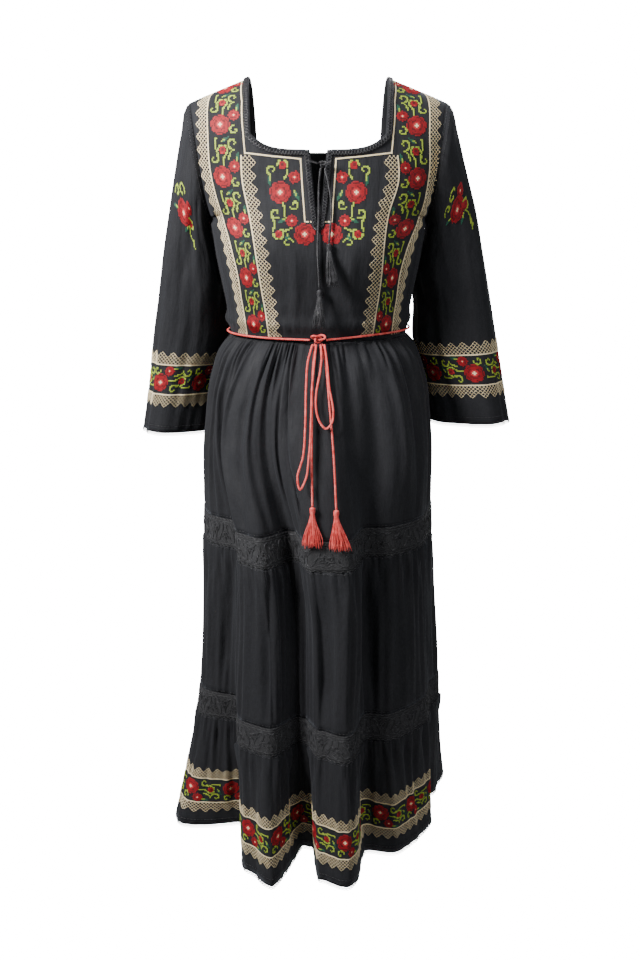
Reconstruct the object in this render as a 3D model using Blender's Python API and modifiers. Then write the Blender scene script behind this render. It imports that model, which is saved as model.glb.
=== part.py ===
"""A long black peasant dress as it hangs on its wearer, hollow and open at the neck, cuffs and hem.

Metres, +Z up. The origin is where the shoulders hold it: midway between the two neck points of the
shoulder seams. The front faces -Y, and +X is the wearer's left.
"""

import math
from collections import namedtuple

import bmesh
import bpy
import numpy as np
from mathutils import Vector
from mathutils.bvhtree import BVHTree

# Cloth and seams
CLOTH = 0.0014
LACE_CLOTH = 0.0018
BINDING_CLOTH = 0.0012
SEAM_GAP = 0.0003
SIDE_SEAM_GAP = 0.0009
ARMHOLE_GAP = 0.0006

# Heights of the seams, measured from the neck points of the shoulders
WAIST = -0.406
LACE_WIDTH = 0.050
LACE_1_TOP = -0.711
LACE_2_TOP = -1.050
HEM = -1.334
HEM_SIDE_LIFT = 0.030

# Shoulders, armholes and neck
NECK_POINT = 0.109
SHOULDER_TIP = 0.205
SHOULDER_DROP = 0.037
SHOULDER_ROLL = 0.105
ARMHOLE_HALF_HEIGHT = 0.089
ARMHOLE_HALF_DEPTH = 0.062
ARMHOLE_TUCK = 0.027
ARMHOLE_BLEND = 0.35
NECK_CORNER = 0.1035
NECK_CORNER_HEIGHT = -0.088
NECK_BOTTOM = -0.1110
NECK_SQUARENESS = 4.6
BACK_NECK_EXTRA = 0.003
BINDING_WIDTH = 0.009
BINDING_CLEARANCE = 0.0009
SLIT_BOTTOM = -0.196
SLIT_POINT = -0.224
SLIT_MIDDLE = -0.150
NECK_MIDDLE = (0.0, 0.0, -0.03)
SLIT_TOP_HALF = 0.0135
SLIT_BOTTOM_HALF = 0.0045

# Soft bust of a general figure
CHEST_SQUARENESS = 0.3
WAIST_BLEND = 0.1
BUST_HEIGHT = -0.250
BUST_APART = 0.080
BUST_RISE = 0.010
BUST_SPREAD = 0.055

# Grid steps
SIDE_STEPS = 5
MIDDLE_SHARES = (0.0, 0.40, 0.72, 0.90, 1.0)
MIDDLE_STEPS = len(MIDDLE_SHARES) - 1
LOWER_STEPS = 5
CHEST_STEPS = 6
SHOULDER_STEPS = 4
CHEST_SHARE = 0.6
SLEEVE_STEPS_ROUND = 20
LACE_STEPS_ROUND = 64
EDGING_STEPS_ROUND = 80
FINE_STEPS = 24
NORMAL_STEP = 0.0008
END_CLEARANCE = 0.0015
WELD = 0.00005

# Cords and tassels
BELT_CORD = 0.0045
TIE_CORD = 0.0040

BLACK_COTTON = ("black_cotton", (0.016, 0.016, 0.018, 1.0), 0.85)
BLACK_LACE = ("black_lace", (0.024, 0.025, 0.028, 1.0), 0.80)
BLACK_CORD = ("black_cord", (0.020, 0.020, 0.022, 1.0), 0.65)
CORAL_CORD = ("coral_cord", (0.760, 0.095, 0.075, 1.0), 0.60)

Section = namedtuple("Section", "height half_width front back")
BODICE = (
    Section(0.000, 0.225, 0.100, 0.104),
    Section(-0.120, 0.215, 0.112, 0.113),
    Section(-0.215, 0.179, 0.128, 0.114),
    Section(-0.275, 0.170, 0.132, 0.108),
    Section(-0.345, 0.157, 0.121, 0.102),
    Section(WAIST, 0.148, 0.105, 0.100),
)
SKIRT = (
    Section(WAIST, 0.148, 0.105, 0.100),
    Section(-0.452, 0.176, 0.131, 0.122),
    Section(-0.560, 0.197, 0.163, 0.148),
    Section(-0.735, 0.205, 0.184, 0.164),
    Section(-1.075, 0.224, 0.200, 0.190),
    Section(-1.334, 0.250, 0.212, 0.224),
)

# Slanting folds of the bodice, mirrored to both sides; the places are sideways and up from the
# middle of the neck points, and the rise is outside the plain form
SlantFold = namedtuple("SlantFold", "side x_top z_top x_foot z_foot rise spread")
SLANT_FOLDS = (
    SlantFold(-1, 0.158, -0.205, 0.112, -0.396, 0.0045, 0.011),
    SlantFold(-1, 0.172, -0.222, 0.131, -0.396, -0.0040, 0.009),
    SlantFold(-1, 0.060, -0.330, 0.064, -0.400, 0.0025, 0.010),
    SlantFold(1, 0.150, -0.215, 0.100, -0.396, 0.0045, 0.012),
    SlantFold(1, 0.040, -0.270, 0.046, -0.400, 0.0030, 0.012),
)

# Large folds of the skirt. Angles are in degrees from the centre front, positive towards the
# wearer's left; reach is in millimetres outside the plain section.
Fold = namedtuple(
    "Fold",
    "name at_waist at_lace_1 at_lace_2 at_hem reach_hip reach_lace_1 reach_lace_2 reach_hem",
)
FOLDS = (
    Fold("right_seam", -90, -90, -90, -90, 0, 0, 0, 14),
    Fold("right_crest", -74, -73, -75, -70, 2, 0, 4, 38),
    Fold("right_valley", -62, -52, -56, -55, -8, -22, -42, -78),
    Fold("front_1_edge", -52, -37, -35, -30, 10, 20, 18, 26),
    Fold("front_1_crest", -40, -26, -22, -18, 12, 28, 22, 49),
    Fold("front_1_valley", -29, -16, -12, -12, -14, -24, -32, -70),
    Fold("front_1_valley_end", -26, -13, -8, -4.5, -13, -22, -28, -68),
    Fold("front_2_edge", -17, -4, 1, 0.8, 8, 22, 14, 22),
    Fold("front_2_crest", 6, 11, 11, 11, 8, 28, 36, 44),
    Fold("front_2_valley", 26, 29, 28, 29, -8, -28, -27, -40),
    Fold("left_crest_1", 46, 44, 39, 42, 2, -10, -6, -7),
    Fold("left_crest_2", 62, 62, 63, 64, 4, -4, -3, -9),
    Fold("left_valley", 78, 77, 78, 80, -4, -8, -12, -38),
    Fold("left_seam", 90, 90, 90, 90, 0, -2, 4, -18),
    Fold("back_1_crest", 106, 106, 106, 106, 4, 4, 12, 14),
    Fold("back_1_valley", 122, 122, 124, 125, -6, -12, -20, -32),
    Fold("back_2_crest", 142, 141, 142, 143, 6, 12, 16, 30),
    Fold("back_2_valley", 158, 159, 158, 158, -8, -14, -24, -40),
    Fold("back_3_crest", 176, 178, 175, 176, 8, 16, 24, 38),
    Fold("back_3_valley", 194, 196, 194, 193, -8, -16, -22, -34),
    Fold("back_4_crest", 212, 212, 213, 211, 6, 12, 18, 32),
    Fold("back_4_valley", 230, 229, 230, 230, -8, -10, -24, -36),
    Fold("back_5_crest", 250, 250, 249, 248, 4, 6, 12, 26),
    Fold("right_seam_again", 270, 270, 270, 270, 0, 0, 0, 14),
)
FOLD_LEVELS = (WAIST, -0.560, -0.735, -1.075, HEM)

# Gathers below each seam: how many round the skirt, columns of points to each, their height at
# each distance down the tier, and how unevenly they are spaced
Gathers = namedtuple("Gathers", "count columns drops depths uneven")
WAIST_GATHERS = Gathers(
    32, 3, (0.0, 0.020, 0.075, 0.160, WAIST - LACE_1_TOP), (0.0016, 0.0045, 0.0034, 0.0014, 0.0), 0.22
)
TIER_2_GATHERS = Gathers(
    58, 2, (0.0, 0.022, 0.090, LACE_1_TOP - LACE_WIDTH - LACE_2_TOP), (0.0014, 0.0034, 0.0012, 0.0), 0.20
)
TIER_3_GATHERS = Gathers(
    68, 2, (0.0, 0.022, 0.085, LACE_2_TOP - LACE_WIDTH - HEM), (0.0014, 0.0036, 0.0014, 0.0), 0.20
)

# Sleeves: a row is a ring below the armhole, by its outermost and innermost points, its half
# depth, how far back its middle sits and how much further back its innermost point is
SleeveRing = namedtuple("SleeveRing", "outer_x outer_z inner_x inner_z half_depth middle_y inner_back")
RIGHT_SLEEVE = (
    SleeveRing(0.2118, -0.0435, 0.1790, -0.2215, 0.0640, 0.001, 0.000),
    SleeveRing(0.2205, -0.080, 0.1795, -0.230, 0.0640, 0.003, 0.002),
    SleeveRing(0.2330, -0.140, 0.1770, -0.247, 0.0620, 0.007, 0.010),
    SleeveRing(0.2460, -0.205, 0.1690, -0.274, 0.0580, 0.014, 0.020),
    SleeveRing(0.2590, -0.268, 0.1580, -0.312, 0.0540, 0.021, 0.028),
    SleeveRing(0.2730, -0.342, 0.1480, -0.365, 0.0500, 0.030, 0.032),
    SleeveRing(0.2880, -0.417, 0.1500, -0.426, 0.0470, 0.040, 0.034),
    SleeveRing(0.3000, -0.492, 0.1750, -0.497, 0.0450, 0.048, 0.030),
    SleeveRing(0.3190, -0.584, 0.1960, -0.590, 0.0430, 0.056, 0.020),
)
LEFT_SLEEVE = (
    SleeveRing(0.2125, -0.0430, 0.1790, -0.2215, 0.0640, 0.001, 0.000),
    SleeveRing(0.2245, -0.080, 0.1795, -0.230, 0.0640, 0.003, 0.002),
    SleeveRing(0.2420, -0.142, 0.1770, -0.247, 0.0620, 0.006, 0.010),
    SleeveRing(0.2600, -0.203, 0.1700, -0.274, 0.0580, 0.011, 0.020),
    SleeveRing(0.2740, -0.266, 0.1600, -0.312, 0.0540, 0.016, 0.026),
    SleeveRing(0.2900, -0.338, 0.1640, -0.365, 0.0500, 0.022, 0.024),
    SleeveRing(0.3060, -0.409, 0.1660, -0.420, 0.0480, 0.027, 0.028),
    SleeveRing(0.3220, -0.480, 0.1840, -0.486, 0.0460, 0.032, 0.024),
    SleeveRing(0.3420, -0.564, 0.2020, -0.568, 0.0440, 0.036, 0.016),
)

# Long folds of a sleeve: turn in degrees from the outer line over the front, at the armhole and
# at the cuff, and the rise at the armhole, the elbow and the cuff in metres
SleeveFold = namedtuple("SleeveFold", "turn_top turn_cuff at_top at_elbow at_cuff spread")
SLEEVE_FOLDS = (
    SleeveFold(38, 22, 0.0000, 0.0040, -0.0030, 20),
    SleeveFold(80, 62, 0.0010, -0.0050, 0.0035, 20),
    SleeveFold(122, 112, -0.0020, 0.0035, -0.0045, 20),
    SleeveFold(205, 200, 0.0000, -0.0020, 0.0030, 22),
    SleeveFold(252, 262, 0.0015, 0.0045, -0.0045, 22),
    SleeveFold(305, 318, -0.0010, -0.0045, 0.0040, 22),
)
HEM_EDGING = 0.008
CUFF_EDGING = 0.007

# Belt: it lies just above the waist seam and meets the knot at the centre front
BELT_LIFT = 0.0055
BELT_SIDE_RISE = 0.006
BELT_OUT = 0.0066
BELT_AT_KNOT = 0.0042
BELT_KNOT_TURN = 0.22
BELT_OFF_SKIRT = 0.0062
BELT_BETWEEN_LAYERS = 0.0025
HANG_SPREAD = 0.016
TIE_HANG_SPREAD = 0.014
BELT_KNOT = (0.000, -0.1165, WAIST + 0.0085)
BELT_KNOT_HALF = (0.0125, 0.0065, 0.0080)
BELT_FRONT_LAYER = -0.1197
BELT_BACK_LAYER = -0.1142
BELT_POINTS = 58
CORD_STEP = 2.9
KNOT_ROUNDING = 0.54

# Hanging cords of the belt: sideways place and height of each turn of the route, and the layer
# it hangs in in front of the skirt
BELT_LOOP_RIGHT = (
    (-0.0095, -0.407), (-0.0165, -0.430), (-0.0195, -0.470), (-0.0205, -0.520), (-0.0245, -0.575),
    (-0.0330, -0.610), (-0.0290, -0.624), (-0.0215, -0.612), (-0.0150, -0.575), (-0.0115, -0.520),
    (-0.0100, -0.470), (-0.0060, -0.430), (-0.0035, -0.407),
)
BELT_LOOP_LEFT = (
    (0.0035, -0.407), (0.0050, -0.425), (0.0020, -0.450), (-0.0030, -0.475), (-0.0035, -0.500),
    (0.0030, -0.522), (0.0120, -0.531), (0.0215, -0.522), (0.0230, -0.500), (0.0175, -0.470),
    (0.0140, -0.435), (0.0095, -0.407),
)
BELT_END_RIGHT = (
    (-0.0060, -0.407), (-0.0085, -0.440), (-0.0100, -0.500), (-0.0105, -0.570), (-0.0095, -0.652),
)
BELT_END_LEFT = (
    (0.0060, -0.407), (0.0120, -0.440), (0.0180, -0.500), (0.0240, -0.570), (0.0285, -0.656),
)
NECK_KNOT = (0.0065, -0.1265, -0.132)
NECK_KNOT_HALF = (0.0065, 0.0040, 0.0055)
TIE_RIGHT = ((0.0035, -0.138), (0.0010, -0.165), (0.0005, -0.210), (-0.0010, -0.255), (0.0020, -0.318))
TIE_LEFT = ((0.0100, -0.138), (0.0165, -0.165), (0.0200, -0.200), (0.0180, -0.228), (0.0165, -0.247))
TIE_YOKE_RIGHT = ((-0.0012, -0.1312), (-0.0080, -0.1290), (-0.0155, -0.1270))
TIE_YOKE_LEFT = ((0.0143, -0.1312), (0.0165, -0.1300), (0.0200, -0.1275))

# Tassels: place of the head, length, half width and half depth of the foot, sideways swing
Tassel = namedtuple("Tassel", "name length half_width half_depth swing strands")
BELT_TASSEL_RIGHT = Tassel("belt_tassel_right", 0.068, 0.017, 0.0055, 0.000, 18)
BELT_TASSEL_LEFT = Tassel("belt_tassel_left", 0.068, 0.018, 0.0055, 0.008, 18)
NECK_TASSEL_LEFT = Tassel("neck_tassel_left", 0.066, 0.010, 0.0055, 0.006, 16)
NECK_TASSEL_RIGHT = Tassel("neck_tassel_right", 0.060, 0.0105, 0.0055, -0.001, 16)
HEAD_RADIUS = 0.0046
HEAD_HALF_HEIGHT = 0.0062
STRAND = 0.0009
STRAND_LEVELS = (0.0, 0.35, 1.0)
ROOT_SPREAD = 0.0030
ROOT_DROP = 0.002
RAGGED = 0.06
TASSEL_LEAN = 0.010


def through(levels, values, at):
    """Smooth curve through the values at rising levels, read at one level or many."""
    levels = np.asarray(levels, float)
    values = np.asarray(values, float)
    slopes = np.gradient(values, levels, axis=0)
    at = np.asarray(at, float)
    i = np.clip(np.searchsorted(levels, at) - 1, 0, len(levels) - 2)
    step = levels[i + 1] - levels[i]
    t = np.clip((at - levels[i]) / step, 0.0, 1.0)
    if values.ndim > 1:
        step = np.expand_dims(step, -1)
        t = np.expand_dims(t, -1)
    return (
        (2 * t**3 - 3 * t**2 + 1) * values[i]
        + (t**3 - 2 * t**2 + t) * step * slopes[i]
        + (3 * t**2 - 2 * t**3) * values[i + 1]
        + (t**3 - t**2) * step * slopes[i + 1]
    )


def section_at(sections, height):
    """Half width, front depth and back depth of the plain section at a height."""
    drops = [-s.height for s in sections]
    sizes = [(s.half_width, s.front, s.back) for s in sections]
    return np.moveaxis(through(drops, sizes, -np.asarray(height, float)), -1, 0)


def smooth(t):
    t = np.clip(t, 0.0, 1.0)
    return t * t * (3 - 2 * t)


# Skirt form


def skirt_curve(height, marks=None):
    """Plan curve of the skirt at a height, as cloth coordinates and x and y.

    The cloth coordinate is 0 at the wearer's right side seam, 0.5 at the left one, and stays the
    same along each fold from waist to hem.
    """
    drops = [-level for level in FOLD_LEVELS]
    angles = [(f.at_waist, f.at_waist, f.at_lace_1, f.at_lace_2, f.at_hem) for f in FOLDS]
    reaches = [(0, f.reach_hip, f.reach_lace_1, f.reach_lace_2, f.reach_hem) for f in FOLDS]
    angle = np.radians(through(drops, np.transpose(angles), -height))
    reach = through(drops, np.transpose(reaches), -height) / 1000
    half_width, front, back = section_at(SKIRT, height)
    t = np.linspace(0.0, 1.0, FINE_STEPS, endpoint=False)
    ease = (1 - np.cos(math.pi * t)) / 2
    turn = (angle[:-1, None] + np.diff(angle)[:, None] * t).ravel()
    out = (reach[:-1, None] + np.diff(reach)[:, None] * ease).ravel()
    turn = np.append(turn, angle[-1])
    out = np.append(out, reach[-1])
    depth = np.where(np.cos(turn) > 0, front, back)
    radius = 1 / np.hypot(np.sin(turn) / half_width, np.cos(turn) / depth) + out
    x = radius * np.sin(turn)
    y = -radius * np.cos(turn)
    run = np.concatenate([[0.0], np.cumsum(np.hypot(np.diff(x), np.diff(y)))])
    at_folds = run[::FINE_STEPS]
    if marks is None:
        seam = [f.name for f in FOLDS].index("left_seam")
        marks = np.interp(at_folds, [0.0, at_folds[seam], at_folds[-1]], [0.0, 0.5, 1.0])
    return np.interp(run, at_folds, marks), x, y


def fold_marks():
    """Cloth coordinate of each fold, from its share of the hem."""
    cloth, _, _ = skirt_curve(HEM)
    return cloth[::FINE_STEPS]


MARKS = fold_marks()


def skirt_ring(height, cloth, out=0.0):
    """Points of the skirt at a height for some cloth coordinates, moved out along the plan normal."""
    known, x, y = skirt_curve(height, MARKS)
    cloth = np.asarray(cloth, float)
    px = np.interp(cloth, known, x)
    py = np.interp(cloth, known, y)
    ahead = np.mod(cloth + NORMAL_STEP, 1.0)
    behind = np.mod(cloth - NORMAL_STEP, 1.0)
    dx = np.interp(ahead, known, x) - np.interp(behind, known, x)
    dy = np.interp(ahead, known, y) - np.interp(behind, known, y)
    length = np.hypot(dx, dy)
    z = np.full_like(px, height)
    return np.stack([px + out * dy / length, py - out * dx / length, z], axis=-1)


def gather_columns(gathers, start, end):
    """Cloth coordinates with a few columns to each gather, and the wave of the gathers there."""
    dense = np.linspace(0.0, 1.0, 4001)
    two_pi = 2 * math.pi
    phase = gathers.count * dense + gathers.uneven * (
        np.sin(two_pi * 5 * dense) + np.sin(two_pi * (11 * dense + 0.3))
    )
    phase -= phase[0]
    steps = np.arange(math.ceil(phase[-1] * gathers.columns) + 1) / gathers.columns
    columns = np.interp(steps, phase, dense)
    inside = (columns > start + END_CLEARANCE) & (columns < end - END_CLEARANCE)
    columns = np.concatenate([[start], columns[inside], [end]])
    at = np.interp(columns, dense, phase)
    fullness = 0.75 + 0.25 * np.sin(two_pi * (7 * columns + 0.15)) * np.sin(two_pi * 3 * columns)
    wave = np.cos(two_pi * at) * fullness
    wave[0] = wave[-1] = 0.0
    return columns, wave


def hem_lift(cloth):
    """How far the hem hangs above its lowest level: the hips lift it at the two sides."""
    known, x, y = skirt_curve(HEM, MARKS)
    sideways = np.interp(cloth, known, x) / np.hypot(
        np.interp(cloth, known, x), np.interp(cloth, known, y)
    )
    return HEM_SIDE_LIFT * sideways**4


def tier_grid(top, gathers, start, end, lifted=False):
    """Rows of points of one cut panel of a tier, from its gathered top edge down."""
    columns, wave = gather_columns(gathers, start, end)
    rows = []
    for drop, depth in zip(gathers.drops, gathers.depths):
        points = skirt_ring(top - drop, columns)
        outward = skirt_ring(top - drop, columns, 1.0) - points
        points += outward * (depth * wave)[:, None]
        for end_point, beside in ((0, 1), (-1, -2)):
            along = points[beside] - points[end_point]
            points[end_point] += along / np.linalg.norm(along) * SIDE_SEAM_GAP / 2
        if lifted:
            points[:, 2] += hem_lift(columns) * (drop / gathers.drops[-1]) ** 2
        rows.append(points)
    rows[0][:, 2] -= SEAM_GAP
    rows[-1][:, 2] += SEAM_GAP
    return rows


# Bodice form


def shoulder_height(x):
    share = (np.abs(x) - NECK_POINT) / (SHOULDER_TIP - NECK_POINT)
    return -SHOULDER_DROP * np.clip(share, -0.3, 1.3)


def slant_rise(fold, x, height):
    """Rise of a slanting fold, fading at both of its ends."""
    share = (height - fold.z_foot) / (fold.z_top - fold.z_foot)
    middle = fold.x_foot + (fold.x_top - fold.x_foot) * share
    fade = smooth(share * 4) * smooth((1 - share) * 3)
    return fold.rise * fade * np.exp(-(((x - middle) / fold.spread) ** 2))


def bodice_depth(x, height, side):
    """Y of the bodice at a place: side is -1 on the front and +1 on the back."""
    half_width, front, back = section_at(BODICE, np.asarray(height, float))
    depth = front if side < 0 else back
    share = np.clip(np.abs(x) / half_width, 0.0, 1.0)
    power = 2 + CHEST_SQUARENESS * smooth((height - WAIST) / WAIST_BLEND)
    across = (1 - share**power) ** (1 / power)
    below = np.clip((shoulder_height(x) - height) / SHOULDER_ROLL, 0.0, 1.0)
    roll = np.sqrt(np.clip(1 - (1 - below) ** 2, 0.0, 1.0))
    y = depth * across * roll
    if side < 0:
        for middle in (-BUST_APART, BUST_APART):
            far = np.hypot(x - middle, height - BUST_HEIGHT) / BUST_SPREAD
            y = y + BUST_RISE * np.exp(-(far**2))
    for fold in SLANT_FOLDS:
        if fold.side == side:
            y = y + slant_rise(fold, np.abs(x), height)
    return side * np.where(share >= 0.9999, 0.0, y)


def armhole(angle, hand):
    """Point of the armhole seam: 0 at the shoulder tip, pi at the underarm, the front between."""
    down = (1 - np.cos(angle)) / 2
    x = hand * (SHOULDER_TIP - ARMHOLE_TUCK * down**0.75)
    y = -ARMHOLE_HALF_DEPTH * np.sin(angle)
    z = -SHOULDER_DROP - 2 * ARMHOLE_HALF_HEIGHT * down
    return np.stack([x, y, z], axis=-1)


def neckline_height(x, corner):
    share = np.clip(np.abs(x) / corner, 0.0, 1.0)
    return NECK_BOTTOM + (NECK_CORNER_HEIGHT - NECK_BOTTOM) * share**NECK_SQUARENESS


def neck_edge(height, corner):
    """Half width of the neck opening above its corners."""
    share = np.clip((height - NECK_CORNER_HEIGHT) / -NECK_CORNER_HEIGHT, 0.0, 1.0)
    return corner + (NECK_POINT - corner) * share


def slit_half(height):
    share = np.clip((height - SLIT_BOTTOM) / (NECK_BOTTOM - SLIT_BOTTOM), 0.0, 1.0)
    return SLIT_BOTTOM_HALF + (SLIT_TOP_HALF - SLIT_BOTTOM_HALF) * share


def bodice_row(height, side, hand):
    """Half a row below the armholes, from the centre line to the side seam."""
    half_width = float(section_at(BODICE, height)[0])
    steps = SIDE_STEPS + MIDDLE_STEPS
    angle = np.linspace(0.0, math.pi / 2, steps + 1)
    x = hand * half_width * np.sin(angle)
    z = np.full_like(x, height)
    return np.stack([x, bodice_depth(x, z, side), z], axis=-1)


def chest_row(t, side, hand, corner):
    """Half a row level with the armholes: t is 0 at the underarm and 1 at the shoulder seam."""
    arm = armhole(np.array(math.pi * (1 - t)), hand)
    arm[1] *= -side
    low = t <= CHEST_SHARE
    if low:
        rise = t / CHEST_SHARE
        x_corner = corner
        z_corner = SLIT_BOTTOM + (NECK_CORNER_HEIGHT - SLIT_BOTTOM) * rise
    else:
        rise = (t - CHEST_SHARE) / (1 - CHEST_SHARE)
        z_corner = NECK_CORNER_HEIGHT * (1 - rise) ** 1.4
        x_corner = float(neck_edge(z_corner, corner))
    outer = np.linspace(0.0, 1.0, SIDE_STEPS + 1)
    x = hand * (x_corner + (abs(arm[0]) - x_corner) * outer)
    z = z_corner + (arm[2] - z_corner) * outer
    y = bodice_depth(x, z, side)
    y = y + (arm[1] - y[-1]) * smooth((outer - ARMHOLE_BLEND) / (1 - ARMHOLE_BLEND))
    row = np.stack([x, y, z], axis=-1)
    if not low:
        return row
    inner = np.array(MIDDLE_SHARES[:-1])
    inside = SLIT_BOTTOM + (NECK_BOTTOM - SLIT_BOTTOM) * rise
    start = float(slit_half(inside)) if side < 0 else 0.0
    x = hand * (start + (x_corner - start) * inner)
    z = SLIT_BOTTOM + (neckline_height(x, corner) - SLIT_BOTTOM) * rise
    middle = np.stack([x, bodice_depth(x, z, side), z], axis=-1)
    return np.concatenate([middle, row])


def bodice_rows(side, hand):
    """All rows of one half of a bodice panel, from the waist up to the shoulder seam."""
    corner = NECK_CORNER + (BACK_NECK_EXTRA if side > 0 else 0.0)
    heights = np.linspace(WAIST + SEAM_GAP, SLIT_POINT, LOWER_STEPS)
    rows = [bodice_row(height, side, hand) for height in heights]
    shares = list(np.linspace(0.0, CHEST_SHARE, CHEST_STEPS + 1))
    shares += list(np.linspace(CHEST_SHARE, 1.0, SHOULDER_STEPS + 1)[1:])
    rows += [chest_row(share, side, hand, corner) for share in shares]
    for row in rows:
        row[-1, 1] += side * SIDE_SEAM_GAP / 2
    for row in rows[LOWER_STEPS:]:
        row[-1, 0] -= hand * ARMHOLE_GAP
    rows[-1][:, 1] = side * SIDE_SEAM_GAP / 2
    return rows


def bodice_panel(name, side):
    """Front or back of the bodice: one cut panel with armholes, a square neck and a front slit."""
    mesh = bmesh.new()
    for hand in (-1, 1):
        add_rows(mesh, bodice_rows(side, hand), flip=hand * side > 0)
    bmesh.ops.remove_doubles(mesh, verts=mesh.verts, dist=WELD)
    bmesh.ops.triangulate(mesh, faces=mesh.faces)
    mesh.normal_update()
    tree = BVHTree.FromBMesh(mesh)
    shell_from(mesh, name, CLOTH, BLACK_COTTON)
    return tree


def neck_path(side, hand):
    """Edge of the neck opening on one half of a panel, from the centre up to the shoulder."""
    rows = bodice_rows(side, hand)
    across = list(rows[LOWER_STEPS + CHEST_STEPS][: MIDDLE_STEPS + 1])
    path = across[: MIDDLE_STEPS - 1]
    for point in across[MIDDLE_STEPS - 1 :] + [row[0] for row in rows[LOWER_STEPS + CHEST_STEPS + 1 :]]:
        path += [(path[-1] + point) / 2, point]
    return path


def nearest(trees, point):
    """Closest place on some panels, and the direction out of the cloth there."""
    found = min((tree.find_nearest(point) for tree in trees), key=lambda hit: hit[3])
    return found[0], found[1]


def strip_on(trees, path, width, away_from):
    """Two rows of points of a strip laid on the panels along an edge, on the side away from a place."""
    path = np.array(path)
    along = np.gradient(path, axis=0)
    edge, inner = [], []
    for point, direction in zip(path, along):
        place, normal = nearest(trees, Vector(point))
        across = Vector(direction).normalized().cross(normal).normalized()
        if across.dot(place - Vector(away_from)) < 0:
            across.negate()
        edge.append(place + normal * BINDING_CLEARANCE)
        place, normal = nearest(trees, place + across * width)
        inner.append(place + normal * BINDING_CLEARANCE)
    turned = (edge[1] - edge[0]).cross(inner[0] - edge[0]).dot(nearest(trees, edge[0])[1]) < 0
    return [edge[::-1], inner[::-1]] if turned else [edge, inner]


# Sleeves


def sleeve_ring(row, hand, turns):
    """Points of a ring of a sleeve; turns start at the outer line and pass over the front."""
    middle = np.array([hand * (row[0] + row[2]) / 2, row[5], (row[1] + row[3]) / 2])
    outward = np.array([hand * (row[0] - row[2]) / 2, 0.0, (row[1] - row[3]) / 2])
    forward = np.array([0.0, -row[4], 0.0])
    inward = ((1 - np.cos(turns)) / 2) ** 2
    ring = middle + np.cos(turns)[:, None] * outward + np.sin(turns)[:, None] * forward
    return ring + inward[:, None] * np.array([0.0, row[6], 0.0])


def sleeve_folds(share, turns):
    """Rise of the long folds at a share of the sleeve's length."""
    rise = np.zeros_like(turns)
    for fold in SLEEVE_FOLDS:
        turn = math.radians(fold.turn_top + (fold.turn_cuff - fold.turn_top) * share)
        height = through((0.0, 0.5, 1.0), (fold.at_top, fold.at_elbow, fold.at_cuff), share)
        off = np.mod(turns - turn + math.pi, 2 * math.pi) - math.pi
        rise += height * np.exp(-((off / math.radians(fold.spread)) ** 2))
    return rise


def sleeve_rows(table, hand, turns):
    """All rings of a sleeve, from the armhole seam to the cuff."""
    rows = [armhole(turns, hand)]
    last = len(table) - 1
    for i, ring in enumerate(table):
        row = sleeve_ring(ring, hand, turns)
        middle = row.mean(axis=0)
        out = row - middle
        out /= np.linalg.norm(out, axis=1)[:, None]
        share = i / last
        rows.append(row + out * (sleeve_folds(share, turns) * smooth(share * 4))[:, None])
    return rows


# Mesh helpers


def add_rows(mesh, rows, flip=False, closed=False):
    """Quads between neighbouring rows. A shorter row lines up with the end of the longer one."""
    made = [[mesh.verts.new(p) for p in row] for row in rows]
    for low, high in zip(made, made[1:]):
        shared = min(len(low), len(high))
        low, high = low[-shared:], high[-shared:]
        if closed:
            low, high = low + low[:1], high + high[:1]
        for i in range(len(low) - 1):
            corners = [low[i], low[i + 1], high[i + 1], high[i]]
            mesh.faces.new(corners[::-1] if flip else corners)
    return made


def link(obj, look):
    """Puts an object in the dress's collection with its plain material."""
    name, colour, roughness = look
    material = bpy.data.materials.get(name)
    if material is None:
        material = bpy.data.materials.new(name)
        material.use_nodes = True
        shader = material.node_tree.nodes["Principled BSDF"]
        shader.inputs["Base Color"].default_value = colour
        shader.inputs["Roughness"].default_value = roughness
        shader.inputs["Metallic"].default_value = 0.0
    obj.data.materials.append(material)
    bpy.data.collections["dress"].objects.link(obj)
    return obj


def shell_from(mesh, name, thickness, look, outward=False):
    """An open sheet given the thickness of its cloth, to the inside unless told otherwise."""
    data = bpy.data.meshes.new(name)
    mesh.to_mesh(data)
    mesh.free()
    data.shade_smooth()
    obj = link(bpy.data.objects.new(name, data), look)
    solidify = obj.modifiers.new("cloth", "SOLIDIFY")
    solidify.thickness = thickness
    solidify.offset = 1.0 if outward else -1.0
    solidify.use_even_offset = False
    return obj


def panel(name, rows, thickness, look, closed=False, flip=False, outward=False):
    mesh = bmesh.new()
    add_rows(mesh, rows, flip=flip, closed=closed)
    return shell_from(mesh, name, thickness, look, outward)


def ring_band(name, rows, thickness, look, flip):
    """A closed band between two or more rings of points."""
    return panel(name, rows, thickness, look, closed=True, flip=flip)


# Cords, knots and tassels


def route(points, spacing):
    """Evenly spaced points along a smooth line through the given ones."""
    points = np.array(points, float)
    run = np.concatenate([[0.0], np.cumsum(np.linalg.norm(np.diff(points, axis=0), axis=1))])
    count = max(int(round(run[-1] / spacing)), 3)
    return through(run, points, np.linspace(0.0, run[-1], count + 1))


def cord(name, points, diameter, look):
    """A round cord with closed ends along a line of points."""
    curve = bpy.data.curves.new(name, "CURVE")
    curve.dimensions = "3D"
    curve.bevel_depth = diameter / 2
    curve.bevel_resolution = 2
    curve.use_fill_caps = True
    spline = curve.splines.new("POLY")
    spline.points.add(len(points) - 1)
    for target, point in zip(spline.points, points):
        target.co = (*point, 1.0)
    return link(bpy.data.objects.new(name, curve), look)


def front_of(x, height, spread, out):
    """Y just in front of the dress near a place on its front."""
    if height > WAIST:
        near = x + np.linspace(-spread, spread, 7)
        return float(np.min(bodice_depth(near, np.full(7, height), -1))) - out
    _, px, py = skirt_curve(height, MARKS)
    near = (np.abs(px - x) < spread) & (py < 0)
    return float(np.min(py[near])) - out


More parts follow.
